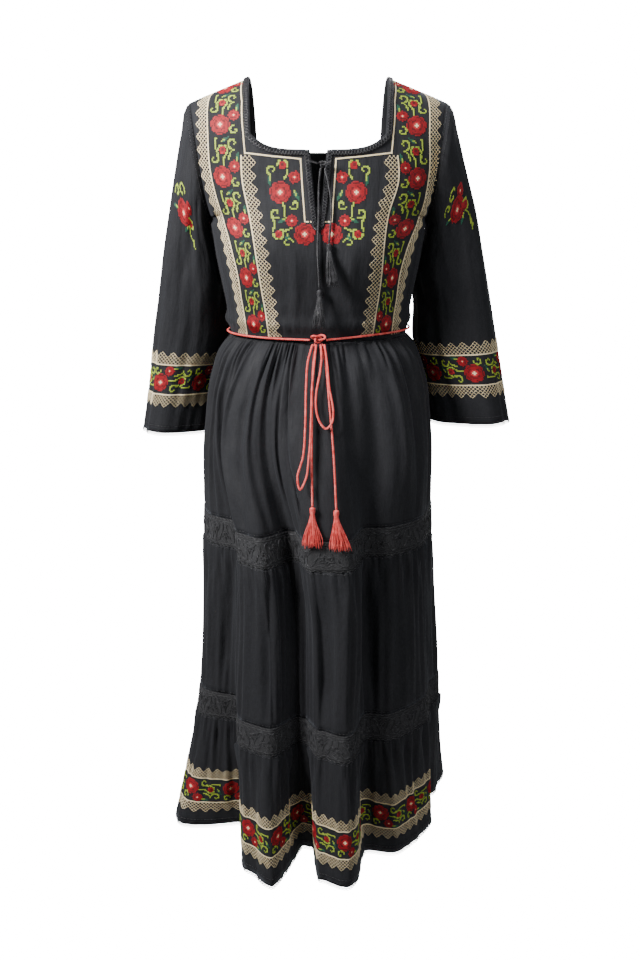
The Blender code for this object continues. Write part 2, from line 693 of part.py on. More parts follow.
def hanging(turns, spread, out, start_y):
    """Route of a cord that hangs down the front of the dress from a knot."""
    points = [(x, min(front_of(x, height, spread, out), start_y), height) for x, height in turns]
    points[0] = (turns[0][0], start_y, turns[0][1])
    if turns[-1][1] == turns[0][1]:
        points[-1] = (turns[-1][0], start_y, turns[-1][1])
    return points


def knot(name, middle, half, look):
    """A rounded block standing for a tied knot."""
    mesh = bmesh.new()
    bmesh.ops.create_cube(mesh, size=2.0)
    bmesh.ops.scale(mesh, vec=half, verts=mesh.verts)
    bmesh.ops.translate(mesh, vec=middle, verts=mesh.verts)
    data = bpy.data.meshes.new(name)
    mesh.to_mesh(data)
    mesh.free()
    data.shade_smooth()
    obj = link(bpy.data.objects.new(name, data), look)
    bevel = obj.modifiers.new("rounding", "BEVEL")
    bevel.width = KNOT_ROUNDING * half[1]
    bevel.segments = 3
    return obj


def tassel(shape, cord_end, look):
    """A bound head with loose strands that stand apart below it."""
    head_middle = Vector(cord_end) - Vector((0.0, 0.0, HEAD_HALF_HEIGHT + SEAM_GAP))
    mesh = bmesh.new()
    bmesh.ops.create_uvsphere(mesh, u_segments=10, v_segments=6, radius=1.0)
    bmesh.ops.scale(mesh, vec=(HEAD_RADIUS, HEAD_RADIUS, HEAD_HALF_HEIGHT), verts=mesh.verts)
    bmesh.ops.translate(mesh, vec=head_middle, verts=mesh.verts)
    data = bpy.data.meshes.new(shape.name)
    mesh.to_mesh(data)
    mesh.free()
    data.shade_smooth()
    head = link(bpy.data.objects.new(shape.name, data), look)

    mesh = bmesh.new()
    golden = math.pi * (3 - math.sqrt(5))
    thirds = [2 * math.pi * j / 3 for j in range(3)]
    corners = [(STRAND * 0.6 * math.sin(a), STRAND * 0.6 * math.cos(a)) for a in thirds]
    for i in range(shape.strands):
        out = math.sqrt((i + 0.5) / shape.strands)
        turn = golden * i
        root = (out * math.cos(turn), out * math.sin(turn))
        rings = []
        for level in STRAND_LEVELS:
            spread = smooth(level)
            width = ROOT_SPREAD + (shape.half_width - ROOT_SPREAD) * spread
            depth = ROOT_SPREAD + (shape.half_depth - ROOT_SPREAD) * spread
            length = shape.length * (1 - RAGGED * (i % 3))
            x = head_middle.x + root[0] * width + shape.swing * level**1.5
            y = head_middle.y + root[1] * depth - TASSEL_LEAN * level
            z = head_middle.z - ROOT_DROP - level * (length - HEAD_HALF_HEIGHT - ROOT_DROP)
            rings.append([mesh.verts.new((x + a, y + b, z)) for a, b in corners])
        mesh.faces.new(rings[0])
        mesh.faces.new(rings[-1][::-1])
        for low, high in zip(rings, rings[1:]):
            for j in range(3):
                mesh.faces.new([low[j], high[j], high[(j + 1) % 3], low[(j + 1) % 3]])
    bmesh.ops.recalc_face_normals(mesh, faces=mesh.faces)
    data = bpy.data.meshes.new(shape.name + "_strands")
    mesh.to_mesh(data)
    mesh.free()
    strands = bpy.data.objects.new(shape.name + "_strands", data)
    strands.hide_render = True
    strands.display_type = "WIRE"
    bpy.data.collections["cutters"].objects.link(strands)
    union = head.modifiers.new("strands", "BOOLEAN")
    union.operation = "UNION"
    union.solver = "EXACT"
    union.object = strands
    return head


# Building


def start():
    for obj in list(bpy.data.objects):
        bpy.data.objects.remove(obj)
    for name in ("dress", "cutters"):
        bpy.context.scene.collection.children.link(bpy.data.collections.new(name))


def build_bodice():
    front = bodice_panel("bodice_front", -1)
    back = bodice_panel("bodice_back", 1)
    path = neck_path(-1, -1) + neck_path(1, -1)[-2:0:-1]
    path += neck_path(1, 1)[:-1] + neck_path(-1, 1)[::-1]
    rows = strip_on((front, back), path, BINDING_WIDTH, NECK_MIDDLE)
    panel("neck_binding", rows, BINDING_CLOTH, BLACK_COTTON, outward=True)
    heights = np.linspace(NECK_BOTTOM, SLIT_BOTTOM, CHEST_STEPS + 1)[1:]
    heights[0] = NECK_BOTTOM - BINDING_WIDTH - SIDE_SEAM_GAP
    side = [(slit_half(h), float(bodice_depth(slit_half(h), h, -1)), h) for h in heights]
    foot = (0.0, float(bodice_depth(0.0, SLIT_POINT, -1)), SLIT_POINT)
    side.append(tuple((a + b) / 2 for a, b in zip(side[-1], foot)))
    path = [(-x, y, z) for x, y, z in side] + [foot] + side[::-1]
    rows = strip_on((front,), path, BINDING_WIDTH, (0.0, foot[1], SLIT_MIDDLE))
    panel("slit_binding", rows, BINDING_CLOTH, BLACK_COTTON, outward=True)


def build_sleeves():
    turns = np.linspace(0.0, 2 * math.pi, SLEEVE_STEPS_ROUND, endpoint=False)
    for name, table, hand in (("right", RIGHT_SLEEVE, -1), ("left", LEFT_SLEEVE, 1)):
        rows = sleeve_rows(table, hand, turns)
        ring_band("sleeve_" + name, rows, CLOTH, BLACK_COTTON, flip=hand < 0)
        down = rows[-1] - rows[-2]
        down /= np.linalg.norm(down, axis=1)[:, None]
        edge = [rows[-1] + down * SEAM_GAP, rows[-1] + down * (SEAM_GAP + CUFF_EDGING)]
        ring_band("cuff_edging_" + name, edge, CLOTH, BLACK_LACE, flip=hand < 0)


def build_skirt():
    tiers = (
        ("skirt_tier_1", WAIST, WAIST_GATHERS, False),
        ("skirt_tier_2", LACE_1_TOP - LACE_WIDTH, TIER_2_GATHERS, False),
        ("skirt_tier_3", LACE_2_TOP - LACE_WIDTH, TIER_3_GATHERS, True),
    )
    for name, top, gathers, lifted in tiers:
        for part, start_at, end_at in (("front", 0.0, 0.5), ("back", 0.5, 1.0)):
            rows = tier_grid(top, gathers, start_at, end_at, lifted)
            panel(name + "_" + part, rows, CLOTH, BLACK_COTTON, flip=True)
    round_skirt = np.linspace(0.0, 1.0, LACE_STEPS_ROUND, endpoint=False)
    for name, top in (("lace_band_1", LACE_1_TOP), ("lace_band_2", LACE_2_TOP)):
        rows = [
            skirt_ring(top - SEAM_GAP, round_skirt),
            skirt_ring(top - LACE_WIDTH + SEAM_GAP, round_skirt),
        ]
        ring_band(name, rows, LACE_CLOTH, BLACK_LACE, flip=True)
    round_hem = np.linspace(0.0, 1.0, EDGING_STEPS_ROUND, endpoint=False)
    edge = skirt_ring(HEM, round_hem)
    edge[:, 2] += hem_lift(round_hem) - SEAM_GAP
    ring_band("hem_edging", [edge, edge - (0.0, 0.0, HEM_EDGING)], CLOTH, BLACK_LACE, flip=True)


def build_belt():
    knot("belt_knot", BELT_KNOT, BELT_KNOT_HALF, CORAL_CORD)
    _, x, y = skirt_curve(WAIST, MARKS)
    turn = np.mod(np.arctan2(x, -y) + math.pi, 2 * math.pi)
    order = np.argsort(turn)
    meets = math.asin((BELT_KNOT_HALF[0] + 4 * SEAM_GAP) / -BELT_KNOT[1])
    turns = np.linspace(meets, 2 * math.pi - meets, BELT_POINTS)
    signed = np.mod(turns + math.pi, 2 * math.pi) - math.pi
    radius = np.interp(signed + math.pi, turn[order], np.hypot(x, y)[order])
    radius += BELT_OUT + BELT_AT_KNOT * np.exp(-((signed / BELT_KNOT_TURN) ** 2))
    height = WAIST + BELT_LIFT + BELT_SIDE_RISE * smooth(np.sin(turns))
    points = np.stack([radius * np.sin(turns), -radius * np.cos(turns), height], axis=-1)
    cord("belt_cord", points, BELT_CORD, CORAL_CORD)
    near = BELT_CORD / 2 + BELT_OFF_SKIRT
    far = near + BELT_CORD + BELT_BETWEEN_LAYERS
    cords = (
        ("belt_loop_right", BELT_LOOP_RIGHT, far, BELT_FRONT_LAYER),
        ("belt_loop_left", BELT_LOOP_LEFT, far, BELT_FRONT_LAYER),
        ("belt_end_right", BELT_END_RIGHT, near, BELT_BACK_LAYER),
        ("belt_end_left", BELT_END_LEFT, near, BELT_BACK_LAYER),
    )
    ends = {}
    for name, route_turns, out, layer in cords:
        points = route(hanging(route_turns, HANG_SPREAD, out, layer), CORD_STEP * BELT_CORD)
        cord(name, points, BELT_CORD, CORAL_CORD)
        ends[name] = points[-1]
    tassel(BELT_TASSEL_RIGHT, ends["belt_end_right"], CORAL_CORD)
    tassel(BELT_TASSEL_LEFT, ends["belt_end_left"], CORAL_CORD)


def build_ties():
    knot("neck_tie_knot", NECK_KNOT, NECK_KNOT_HALF, BLACK_CORD)
    out = TIE_CORD / 2 + BINDING_CLOTH + BINDING_CLEARANCE + SEAM_GAP
    layer = NECK_KNOT[1]
    cords = (
        ("neck_tie_yoke_right", TIE_YOKE_RIGHT),
        ("neck_tie_yoke_left", TIE_YOKE_LEFT),
        ("neck_tie_right", TIE_RIGHT),
        ("neck_tie_left", TIE_LEFT),
    )
    ends = {}
    for name, route_turns in cords:
        points = route(hanging(route_turns, TIE_HANG_SPREAD, out, layer), CORD_STEP * TIE_CORD)
        cord(name, points, TIE_CORD, BLACK_CORD)
        ends[name] = points[-1]
    tassel(NECK_TASSEL_RIGHT, ends["neck_tie_right"], BLACK_CORD)
    tassel(NECK_TASSEL_LEFT, ends["neck_tie_left"], BLACK_CORD)


def main():
    start()
    build_bodice()
    build_sleeves()
    build_skirt()
    build_belt()
    build_ties()


main()
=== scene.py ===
"""Looks of the long black embroidered dress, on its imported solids.

Metres, +Z up, in the solids' own frame: the front faces -Y and +X is the wearer's left. The cloth,
the cords and the routes repeat the named values of the part's source, on finer meshes.
"""

import math
from collections import namedtuple

import bpy
import numpy as np
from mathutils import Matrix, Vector
from mathutils.bvhtree import BVHTree


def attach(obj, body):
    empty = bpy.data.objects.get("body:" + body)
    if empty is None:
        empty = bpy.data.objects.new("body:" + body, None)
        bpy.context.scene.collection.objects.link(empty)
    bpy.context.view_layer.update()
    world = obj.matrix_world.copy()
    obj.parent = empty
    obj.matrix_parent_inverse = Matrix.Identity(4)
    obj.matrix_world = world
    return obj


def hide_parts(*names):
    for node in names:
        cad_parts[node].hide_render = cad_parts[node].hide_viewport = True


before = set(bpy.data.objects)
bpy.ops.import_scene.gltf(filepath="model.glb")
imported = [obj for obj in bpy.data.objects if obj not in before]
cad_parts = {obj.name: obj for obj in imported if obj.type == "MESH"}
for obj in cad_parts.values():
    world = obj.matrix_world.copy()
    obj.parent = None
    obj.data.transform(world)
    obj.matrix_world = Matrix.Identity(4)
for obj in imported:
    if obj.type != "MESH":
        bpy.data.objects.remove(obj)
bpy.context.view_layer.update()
ROOT = "root"
SHOWN = "_shown"

# Cloth and seams
BINDING_CLOTH = 0.0012
SEAM_GAP = 0.0003
SIDE_SEAM_GAP = 0.0009
ARMHOLE_GAP = 0.0006

# Heights of the seams, measured from the neck points of the shoulders
WAIST = -0.406
LACE_WIDTH = 0.050
LACE_1_TOP = -0.711
LACE_2_TOP = -1.050
HEM = -1.334
HEM_SIDE_LIFT = 0.030

# Shoulders, armholes and neck
NECK_POINT = 0.109
SHOULDER_TIP = 0.205
SHOULDER_DROP = 0.037
SHOULDER_ROLL = 0.105
ARMHOLE_HALF_HEIGHT = 0.089
ARMHOLE_HALF_DEPTH = 0.062
ARMHOLE_TUCK = 0.027
ARMHOLE_BLEND = 0.35
NECK_CORNER = 0.1035
NECK_CORNER_HEIGHT = -0.088
NECK_BOTTOM = -0.1110
NECK_SQUARENESS = 4.6
BACK_NECK_EXTRA = 0.003
BINDING_WIDTH = 0.009
BINDING_CLEARANCE = 0.0009
SLIT_BOTTOM = -0.196
SLIT_POINT = -0.224
SLIT_MIDDLE = -0.150
NECK_MIDDLE = (0.0, 0.0, -0.03)
SLIT_TOP_HALF = 0.0135
SLIT_BOTTOM_HALF = 0.0045

# Soft bust of a general figure
CHEST_SQUARENESS = 0.3
WAIST_BLEND = 0.1
BUST_HEIGHT = -0.250
BUST_APART = 0.080
BUST_RISE = 0.010
BUST_SPREAD = 0.055

# Grid steps
SIDE_STEPS = 26
MIDDLE_SHARES = tuple(1 - (1 - i / 22) ** 1.8 for i in range(23))
MIDDLE_STEPS = len(MIDDLE_SHARES) - 1
LOWER_STEPS = 32
CHEST_STEPS = 26
SHOULDER_STEPS = 16
CHEST_SHARE = 0.6
FINE_STEPS = 24
NORMAL_STEP = 0.0008

# Cords and tassels
BELT_CORD = 0.0045
TIE_CORD = 0.0040


def table(kind, rows):
    """Rows of plain values as the named values of a kind."""
    return [kind(*row) for row in rows]


def thousandths(kind, rows, plain=0):
    """Rows given in thousandths, such as millimetres, after some plain values at their start."""
    scaled = [(*row[:plain], *(value / 1000 for value in row[plain:])) for row in rows]
    return scaled if kind is tuple else table(kind, scaled)


# Plain sections of the body form, from the top down
Section = namedtuple("Section", "height half_width front back")
BODICE = table(Section, (
    (0.000, 0.225, 0.100, 0.104),
    (-0.120, 0.215, 0.112, 0.113),
    (-0.215, 0.179, 0.128, 0.114),
    (-0.275, 0.170, 0.132, 0.108),
    (-0.345, 0.157, 0.121, 0.102),
    (WAIST, 0.148, 0.105, 0.100),
))
SKIRT = table(Section, (
    (WAIST, 0.148, 0.105, 0.100),
    (-0.452, 0.176, 0.131, 0.122),
    (-0.560, 0.197, 0.163, 0.148),
    (-0.735, 0.205, 0.184, 0.164),
    (-1.075, 0.224, 0.200, 0.190),
    (-1.334, 0.250, 0.212, 0.224),
))

# Slanting folds of the bodice, mirrored to both sides. The side is -1 on the front and 1 on the
# back; the places are millimetres sideways and up, and the rise is outside the plain form.
SlantFold = namedtuple("SlantFold", "side x_top z_top x_foot z_foot rise spread")
SLANT_FOLDS = thousandths(SlantFold, (
    (-1, 158, -205, 112, -396, 4.5, 11),
    (-1, 172, -222, 131, -396, -4, 9),
    (-1, 60, -330, 64, -400, 2.5, 10),
    (1, 150, -215, 100, -396, 4.5, 12),
    (1, 40, -270, 46, -400, 3, 12),
), plain=1)

# Large folds of the skirt. Angles are in degrees from the centre front, positive towards the
# wearer's left; reach is in millimetres outside the plain section.
Fold = namedtuple(
    "Fold",
    "name at_waist at_lace_1 at_lace_2 at_hem reach_hip reach_lace_1 reach_lace_2 reach_hem",
)
FOLDS = table(Fold, (
    ("right_seam", -90, -90, -90, -90, 0, 0, 0, 14),
    ("right_crest", -74, -73, -75, -70, 2, 0, 4, 38),
    ("right_valley", -62, -52, -56, -55, -8, -22, -42, -78),
    ("front_1_edge", -52, -37, -35, -30, 10, 20, 18, 26),
    ("front_1_crest", -40, -26, -22, -18, 12, 28, 22, 49),
    ("front_1_valley", -29, -16, -12, -12, -14, -24, -32, -70),
    ("front_1_valley_end", -26, -13, -8, -4.5, -13, -22, -28, -68),
    ("front_2_edge", -17, -4, 1, 0.8, 8, 22, 14, 22),
    ("front_2_crest", 6, 11, 11, 11, 8, 28, 36, 44),
    ("front_2_valley", 26, 29, 28, 29, -8, -28, -27, -40),
    ("left_crest_1", 46, 44, 39, 42, 2, -10, -6, -7),
    ("left_crest_2", 62, 62, 63, 64, 4, -4, -3, -9),
    ("left_valley", 78, 77, 78, 80, -4, -8, -12, -38),
    ("left_seam", 90, 90, 90, 90, 0, -2, 4, -18),
    ("back_1_crest", 106, 106, 106, 106, 4, 4, 12, 14),
    ("back_1_valley", 122, 122, 124, 125, -6, -12, -20, -32),
    ("back_2_crest", 142, 141, 142, 143, 6, 12, 16, 30),
    ("back_2_valley", 158, 159, 158, 158, -8, -14, -24, -40),
    ("back_3_crest", 176, 178, 175, 176, 8, 16, 24, 38),
    ("back_3_valley", 194, 196, 194, 193, -8, -16, -22, -34),
    ("back_4_crest", 212, 212, 213, 211, 6, 12, 18, 32),
    ("back_4_valley", 230, 229, 230, 230, -8, -10, -24, -36),
    ("back_5_crest", 250, 250, 249, 248, 4, 6, 12, 26),
    ("right_seam_again", 270, 270, 270, 270, 0, 0, 0, 14),
))
FOLD_LEVELS = (WAIST, -0.560, -0.735, -1.075, HEM)

# Gathers below each seam: how many round the skirt, their height at each distance down the tier,
# and how unevenly they are spaced
Gathers = namedtuple("Gathers", "count drops depths uneven")
WAIST_GATHERS = Gathers(
    32, (0.0, 0.020, 0.075, 0.160, WAIST - LACE_1_TOP), (0.0016, 0.0045, 0.0034, 0.0014, 0.0), 0.22
)
TIER_2_GATHERS = Gathers(
    58, (0.0, 0.022, 0.090, LACE_1_TOP - LACE_WIDTH - LACE_2_TOP), (0.0014, 0.0034, 0.0012, 0.0),
    0.20,
)
TIER_3_GATHERS = Gathers(
    68, (0.0, 0.022, 0.085, LACE_2_TOP - LACE_WIDTH - HEM), (0.0014, 0.0036, 0.0014, 0.0), 0.20
)

# Sleeves: a row is a ring below the armhole in millimetres: its outermost and innermost points, its
# half depth, how far back its middle sits and how much further back its innermost point is
SleeveRing = namedtuple(
    "SleeveRing", "outer_x outer_z inner_x inner_z half_depth middle_y inner_back"
)
RIGHT_SLEEVE = thousandths(SleeveRing, (
    (211.8, -43.5, 179, -221.5, 64, 1, 0),
    (220.5, -80, 179.5, -230, 64, 3, 2),
    (233, -140, 177, -247, 62, 7, 10),
    (246, -205, 169, -274, 58, 14, 20),
    (259, -268, 158, -312, 54, 21, 28),
    (273, -342, 148, -365, 50, 30, 32),
    (288, -417, 150, -426, 47, 40, 34),
    (300, -492, 175, -497, 45, 48, 30),
    (319, -584, 196, -590, 43, 56, 20),
))
LEFT_SLEEVE = thousandths(SleeveRing, (
    (212.5, -43, 179, -221.5, 64, 1, 0),
    (224.5, -80, 179.5, -230, 64, 3, 2),
    (242, -142, 177, -247, 62, 6, 10),
    (260, -203, 170, -274, 58, 11, 20),
    (274, -266, 160, -312, 54, 16, 26),
    (290, -338, 164, -365, 50, 22, 24),
    (306, -409, 166, -420, 48, 27, 28),
    (322, -480, 184, -486, 46, 32, 24),
    (342, -564, 202, -568, 44, 36, 16),
))

# Long folds of a sleeve: turn in degrees from the outer line over the front, at the armhole and
# at the cuff, and the rise at the armhole, the elbow and the cuff in metres
SleeveFold = namedtuple("SleeveFold", "turn_top turn_cuff at_top at_elbow at_cuff spread")
SLEEVE_FOLDS = table(SleeveFold, (
    (38, 22, 0.0000, 0.0040, -0.0030, 20),
    (80, 62, 0.0010, -0.0050, 0.0035, 20),
    (122, 112, -0.0020, 0.0035, -0.0045, 20),
    (205, 200, 0.0000, -0.0020, 0.0030, 22),
    (252, 262, 0.0015, 0.0045, -0.0045, 22),
    (305, 318, -0.0010, -0.0045, 0.0040, 22),
))
HEM_EDGING = 0.008
CUFF_EDGING = 0.007

# Belt: it lies just above the waist seam and meets the knot at the centre front
BELT_LIFT = 0.0055
BELT_SIDE_RISE = 0.006
BELT_OUT = 0.0066
BELT_AT_KNOT = 0.0042
BELT_KNOT_TURN = 0.22
BELT_OFF_SKIRT = 0.0062
BELT_BETWEEN_LAYERS = 0.0025
HANG_SPREAD = 0.016
TIE_HANG_SPREAD = 0.014
BELT_KNOT = (0.000, -0.1165, WAIST + 0.0085)
BELT_KNOT_HALF = (0.0125, 0.0065, 0.0080)
BELT_FRONT_LAYER = -0.1197
BELT_BACK_LAYER = -0.1142
BELT_POINTS = 58
CORD_STEP = 2.9

# Hanging cords: sideways place and height of each turn of the route, in millimetres
BELT_LOOP_RIGHT = thousandths(tuple, (
    (-9.5, -407), (-16.5, -430), (-19.5, -470), (-20.5, -520), (-24.5, -575), (-33, -610),
    (-29, -624), (-21.5, -612), (-15, -575), (-11.5, -520), (-10, -470), (-6, -430),
    (-3.5, -407),
))
BELT_LOOP_LEFT = thousandths(tuple, (
    (3.5, -407), (5, -425), (2, -450), (-3, -475), (-3.5, -500), (3, -522), (12, -531),
    (21.5, -522), (23, -500), (17.5, -470), (14, -435), (9.5, -407),
))
BELT_END_RIGHT = thousandths(tuple, (
    (-6, -407), (-8.5, -440), (-10, -500), (-10.5, -570), (-9.5, -652),
))
BELT_END_LEFT = thousandths(tuple, (
    (6, -407), (12, -440), (18, -500), (24, -570), (28.5, -656),
))
NECK_KNOT = (0.0065, -0.1265, -0.132)
NECK_KNOT_HALF = (0.0065, 0.0040, 0.0055)
TIE_RIGHT = thousandths(tuple, (
    (3.5, -138), (1, -165), (0.5, -210), (-1, -255), (2, -318),
))
TIE_LEFT = thousandths(tuple, (
    (10, -138), (16.5, -165), (20, -200), (18, -228), (16.5, -247),
))
TIE_YOKE_RIGHT = thousandths(tuple, (
    (-1.2, -131.2), (-8, -129), (-15.5, -127),
))
TIE_YOKE_LEFT = thousandths(tuple, (
    (14.3, -131.2), (16.5, -130), (20, -127.5),
))

# Tassels: length, half width and half depth of the foot, sideways swing
Tassel = namedtuple("Tassel", "name length half_width half_depth swing")
BELT_TASSEL_RIGHT = Tassel("belt_tassel_right", 0.068, 0.017, 0.0055, 0.000)
BELT_TASSEL_LEFT = Tassel("belt_tassel_left", 0.068, 0.018, 0.0055, 0.008)
NECK_TASSEL_LEFT = Tassel("neck_tassel_left", 0.066, 0.010, 0.0055, 0.006)
NECK_TASSEL_RIGHT = Tassel("neck_tassel_right", 0.060, 0.0105, 0.0055, -0.001)
HEAD_RADIUS = 0.0046
HEAD_HALF_HEIGHT = 0.0062
ROOT_SPREAD = 0.0030
ROOT_DROP = 0.002
RAGGED = 0.06
TASSEL_LEAN = 0.010

# Shown cloth: its own thickness, the fineness of its meshes and its small creases
CLOTH_SHOWN = 0.0010
SEAM_FADE = 0.006
GATHER_PINCH = 0.060
FOOT_FADE = 0.018
HEM_CALM = 0.75
PUCKER_RISE = 0.0032
PUCKER_START = 0.004
PUCKER_REACH = 0.060
PINCH_SHARE = 0.65
REACH_UNEVEN = 0.45
REACH_LIMITS = (0.55, 1.7)
CREASE_START = 0.030
CREASE_TURN = 2.2
PUFF_RISE = 0.0034
PUFF_DROPS = (0.0, 0.012, 0.060)
CORD_ROOM = 0.0053
CORD_ROOM_HALF = 0.046
BLOUSE_RISE = 0.0052
BLOUSE_HEIGHT = -0.379
BLOUSE_SPREAD = 0.0105
LACE_COLUMNS = 320
SLEEVE_COLUMNS = 96
SLEEVE_ROWS = 64
SLEEVE_RIPPLE = 0.0009
UNDERARM_RISE = 0.0032
UNDERARM_REACH = 0.20

# A soft crease down a tier, in thousandths of the way round and of the way down, and its rise
# in millimetres
TierCrease = namedtuple("TierCrease", "cloth_top cloth_foot start end rise spread")
TIER_1_CREASES = thousandths(TierCrease, (
    (95, 85, 30, 970, 5.5, 9),
    (135, 120, 20, 970, -5, 6),
    (165, 150, 20, 970, 5, 7),
    (195, 185, 20, 950, -6, 6),
    (256, 264, 30, 950, 7, 8),
    (225, 222, 30, 800, -3, 7),
    (286, 308, 10, 980, -13, 8),
    (330, 344, 50, 900, 4.5, 8),
    (388, 392, 20, 970, -10.5, 7),
    (417, 420, 50, 940, 5, 8),
    (445, 445, 20, 900, -5.5, 7),
    (52, 46, 20, 920, -5, 8),
    (580, 590, 20, 900, -4, 7),
    (665, 655, 20, 950, 3.5, 8),
    (760, 770, 20, 850, -4, 7),
    (855, 850, 20, 950, 3.5, 9),
    (930, 940, 20, 900, -3.5, 7),
))
TIER_2_CREASES = thousandths(TierCrease, (
    (60, 55, 50, 950, 4.2, 7),
    (92, 86, 40, 970, -10, 7),
    (150, 145, 50, 950, 4.8, 7),
    (200, 196, 40, 970, -8.5, 7),
    (250, 250, 50, 950, 5.2, 8),
    (308, 311, 40, 980, -11, 8),
    (345, 350, 50, 900, 4.5, 7),
    (379, 384, 20, 980, -12, 8),
    (430, 430, 50, 920, 4.2, 7),
    (470, 468, 50, 950, -4.2, 6),
    (620, 630, 50, 950, -3.2, 7),
    (745, 735, 50, 900, 3, 8),
    (880, 885, 50, 950, -3.2, 7),
))
TIER_3_CREASES = thousandths(TierCrease, (
    (50, 46, 50, 950, -5, 6),
    (95, 85, 50, 950, 5.2, 7),
    (140, 138, 50, 900, -6, 6),
    (190, 195, 50, 900, 5, 7),
    (240, 238, 50, 920, -6.5, 6),
    (290, 292, 50, 920, 4.8, 7),
    (376, 378, 30, 960, -9.5, 8),
    (404, 408, 50, 920, 4.6, 7),
    (430, 436, 50, 920, -5, 6),
    (600, 610, 50, 900, -3, 6),
    (800, 790, 50, 900, 2.8, 6),
))
Tier = namedtuple(
    "Tier", "name top gathers columns rows lifted crease creases seed cut hangs_from"
)
TIERS = table(Tier, (
    ("skirt_tier_1", WAIST, WAIST_GATHERS, 448, 48, False, 0.0024, TIER_1_CREASES, 11,
     (0.64, 0.31), "bodice_front"),
    ("skirt_tier_2", LACE_1_TOP - LACE_WIDTH, TIER_2_GATHERS, 496, 36, False, 0.0022,
     TIER_2_CREASES, 12, (0.80, 0.30), "lace_band_1"),
    ("skirt_tier_3", LACE_2_TOP - LACE_WIDTH, TIER_3_GATHERS, 544, 30, True, 0.0020,
     TIER_3_CREASES, 13, (1.10, 0.25), "lace_band_2"),
))
LACE_BANDS = (
    ("lace_band_1", LACE_1_TOP, "skirt_tier_1_front", 52),
    ("lace_band_2", LACE_2_TOP, "skirt_tier_2_front", 64),
)
LACE_SHOWN = 0.0009
LACE_ROWS = 9
LACE_RISE = 0.0005
LACE_UNEVEN = 0.0003
LACE_THREAD = 0.0006
# Rings of petals of a spray: size, how many petals, thread radius
LACE_FLOWERS = ((0.0085, 6, 0.00062), (0.0046, 5, 0.00055))
# Cords worked along the lace: distance below its top edge, swing to each side, length of a wave
LACE_CORDS = (
    (0.0008, 0.0016, 0.0090),
    (0.0052, 0.0000, 0.0090),
    (0.0095, 0.0022, 0.0120),
    (0.0405, -0.0022, 0.0120),
    (0.0448, 0.0000, 0.0090),
    (0.0492, -0.0020, 0.0090),
)

# Small creases of the bodice, each on one side only; side and places as for the slanting folds
BODICE_CREASES = thousandths(SlantFold, (
    (-1, -188, -120, -150, -330, 4.6, 5.5),
    (-1, -176, -150, -128, -392, -4, 5),
    (-1, -186, -160, -160, -300, 2.2, 4.5),
    (-1, -104, -150, -66, -163, 0.9, 2.2),
    (-1, -102, -165, -64, -180, -0.8, 2.2),
    (-1, -100, -182, -68, -196, 0.9, 2.2),
    (-1, 70, -135, 104, -146, 0.8, 2.5),
    (-1, -34, -240, -40, -398, 3.4, 8),
    (-1, 16, -240, 18, -398, -3.6, 7),
    (-1, 52, -240, 50, -398, 3.2, 8),
    (-1, 186, -130, 146, -340, 4.4, 5.5),
    (-1, 180, -160, 130, -392, -3.8, 5),
    (1, -180, -140, -130, -340, 3, 7),
    (1, 180, -140, 130, -340, 3, 7),
    (1, -60, -250, -66, -398, -2.2, 8),
    (1, 50, -240, 60, -398, 2.2, 8),
    (1, 0, -130, 4, -300, 1.4, 9),
), plain=1)
# Small creases of a sleeve: turns in degrees, start and end as shares of its length
SleeveCrease = namedtuple("SleeveCrease", "turn_top turn_foot start end rise spread")
SLEEVE_CREASES = table(SleeveCrease, (
    (120, 60, 0.02, 0.50, -0.0038, 11),
    (150, 95, 0.05, 0.60, 0.0035, 12),
    (165, 120, 0.30, 0.62, -0.0032, 10),
    (60, 40, 0.35, 0.95, 0.0022, 12),
    (95, 80, 0.50, 1.00, -0.0022, 10),
    (230, 270, 0.10, 0.60, -0.0034, 12),
    (210, 245, 0.25, 0.70, 0.0030, 11),
    (300, 330, 0.30, 0.95, 0.0024, 12),
))

# Cords and tassels as they show
PLIES = 3
PLY_PITCH = 0.0110
PLY_OFFSET = 0.220
PLY_RADIUS = 0.215
TASSEL_STRANDS = 60
STRAND_RADIUS = 0.00058
STRAND_POINTS = 15
STRAND_WAVE = 0.0010
GOLDEN_TURN = math.pi * (3 - math.sqrt(5))
HEAD_WRAPS = (-0.75, 0.55, 7)
WRAP_RADIUS = 0.00062
# The head's core, by shares of its half height and of its radius
HEAD_PROFILE = ((-0.9, 0.78), (-0.4, 0.84), (0.1, 0.82), (0.5, 0.76), (0.8, 0.52), (0.95, 0.2))
KNOT_ROOM = 0.42
KNOT_STEP = 0.0009
TOWARDS_BACK = (0.0, 1.0, 0.0)

# Cross stitch: the size of a cell, and the codes of a chart, which are the flosses in their order,
# bare cloth and the slanted bars of the borders
CELL = 0.0022
STITCH_RISE = 0.0008
RED, DARK_RED, CREAM, LIME, TEAL, PINK = range(6)
BARE = -1
RISING, FALLING, CROSSED = 10, 11, 12
LATTICE_PITCH = 3
LATTICE_THREAD = 0.23
FRONT_OF_ALL = -1.0
FRONT_DEPTH = 0.02
FLORAL_CELLS = 24
BORDER_CELLS = 10
TOOTH_CELLS = 9
STITCH = 0.52
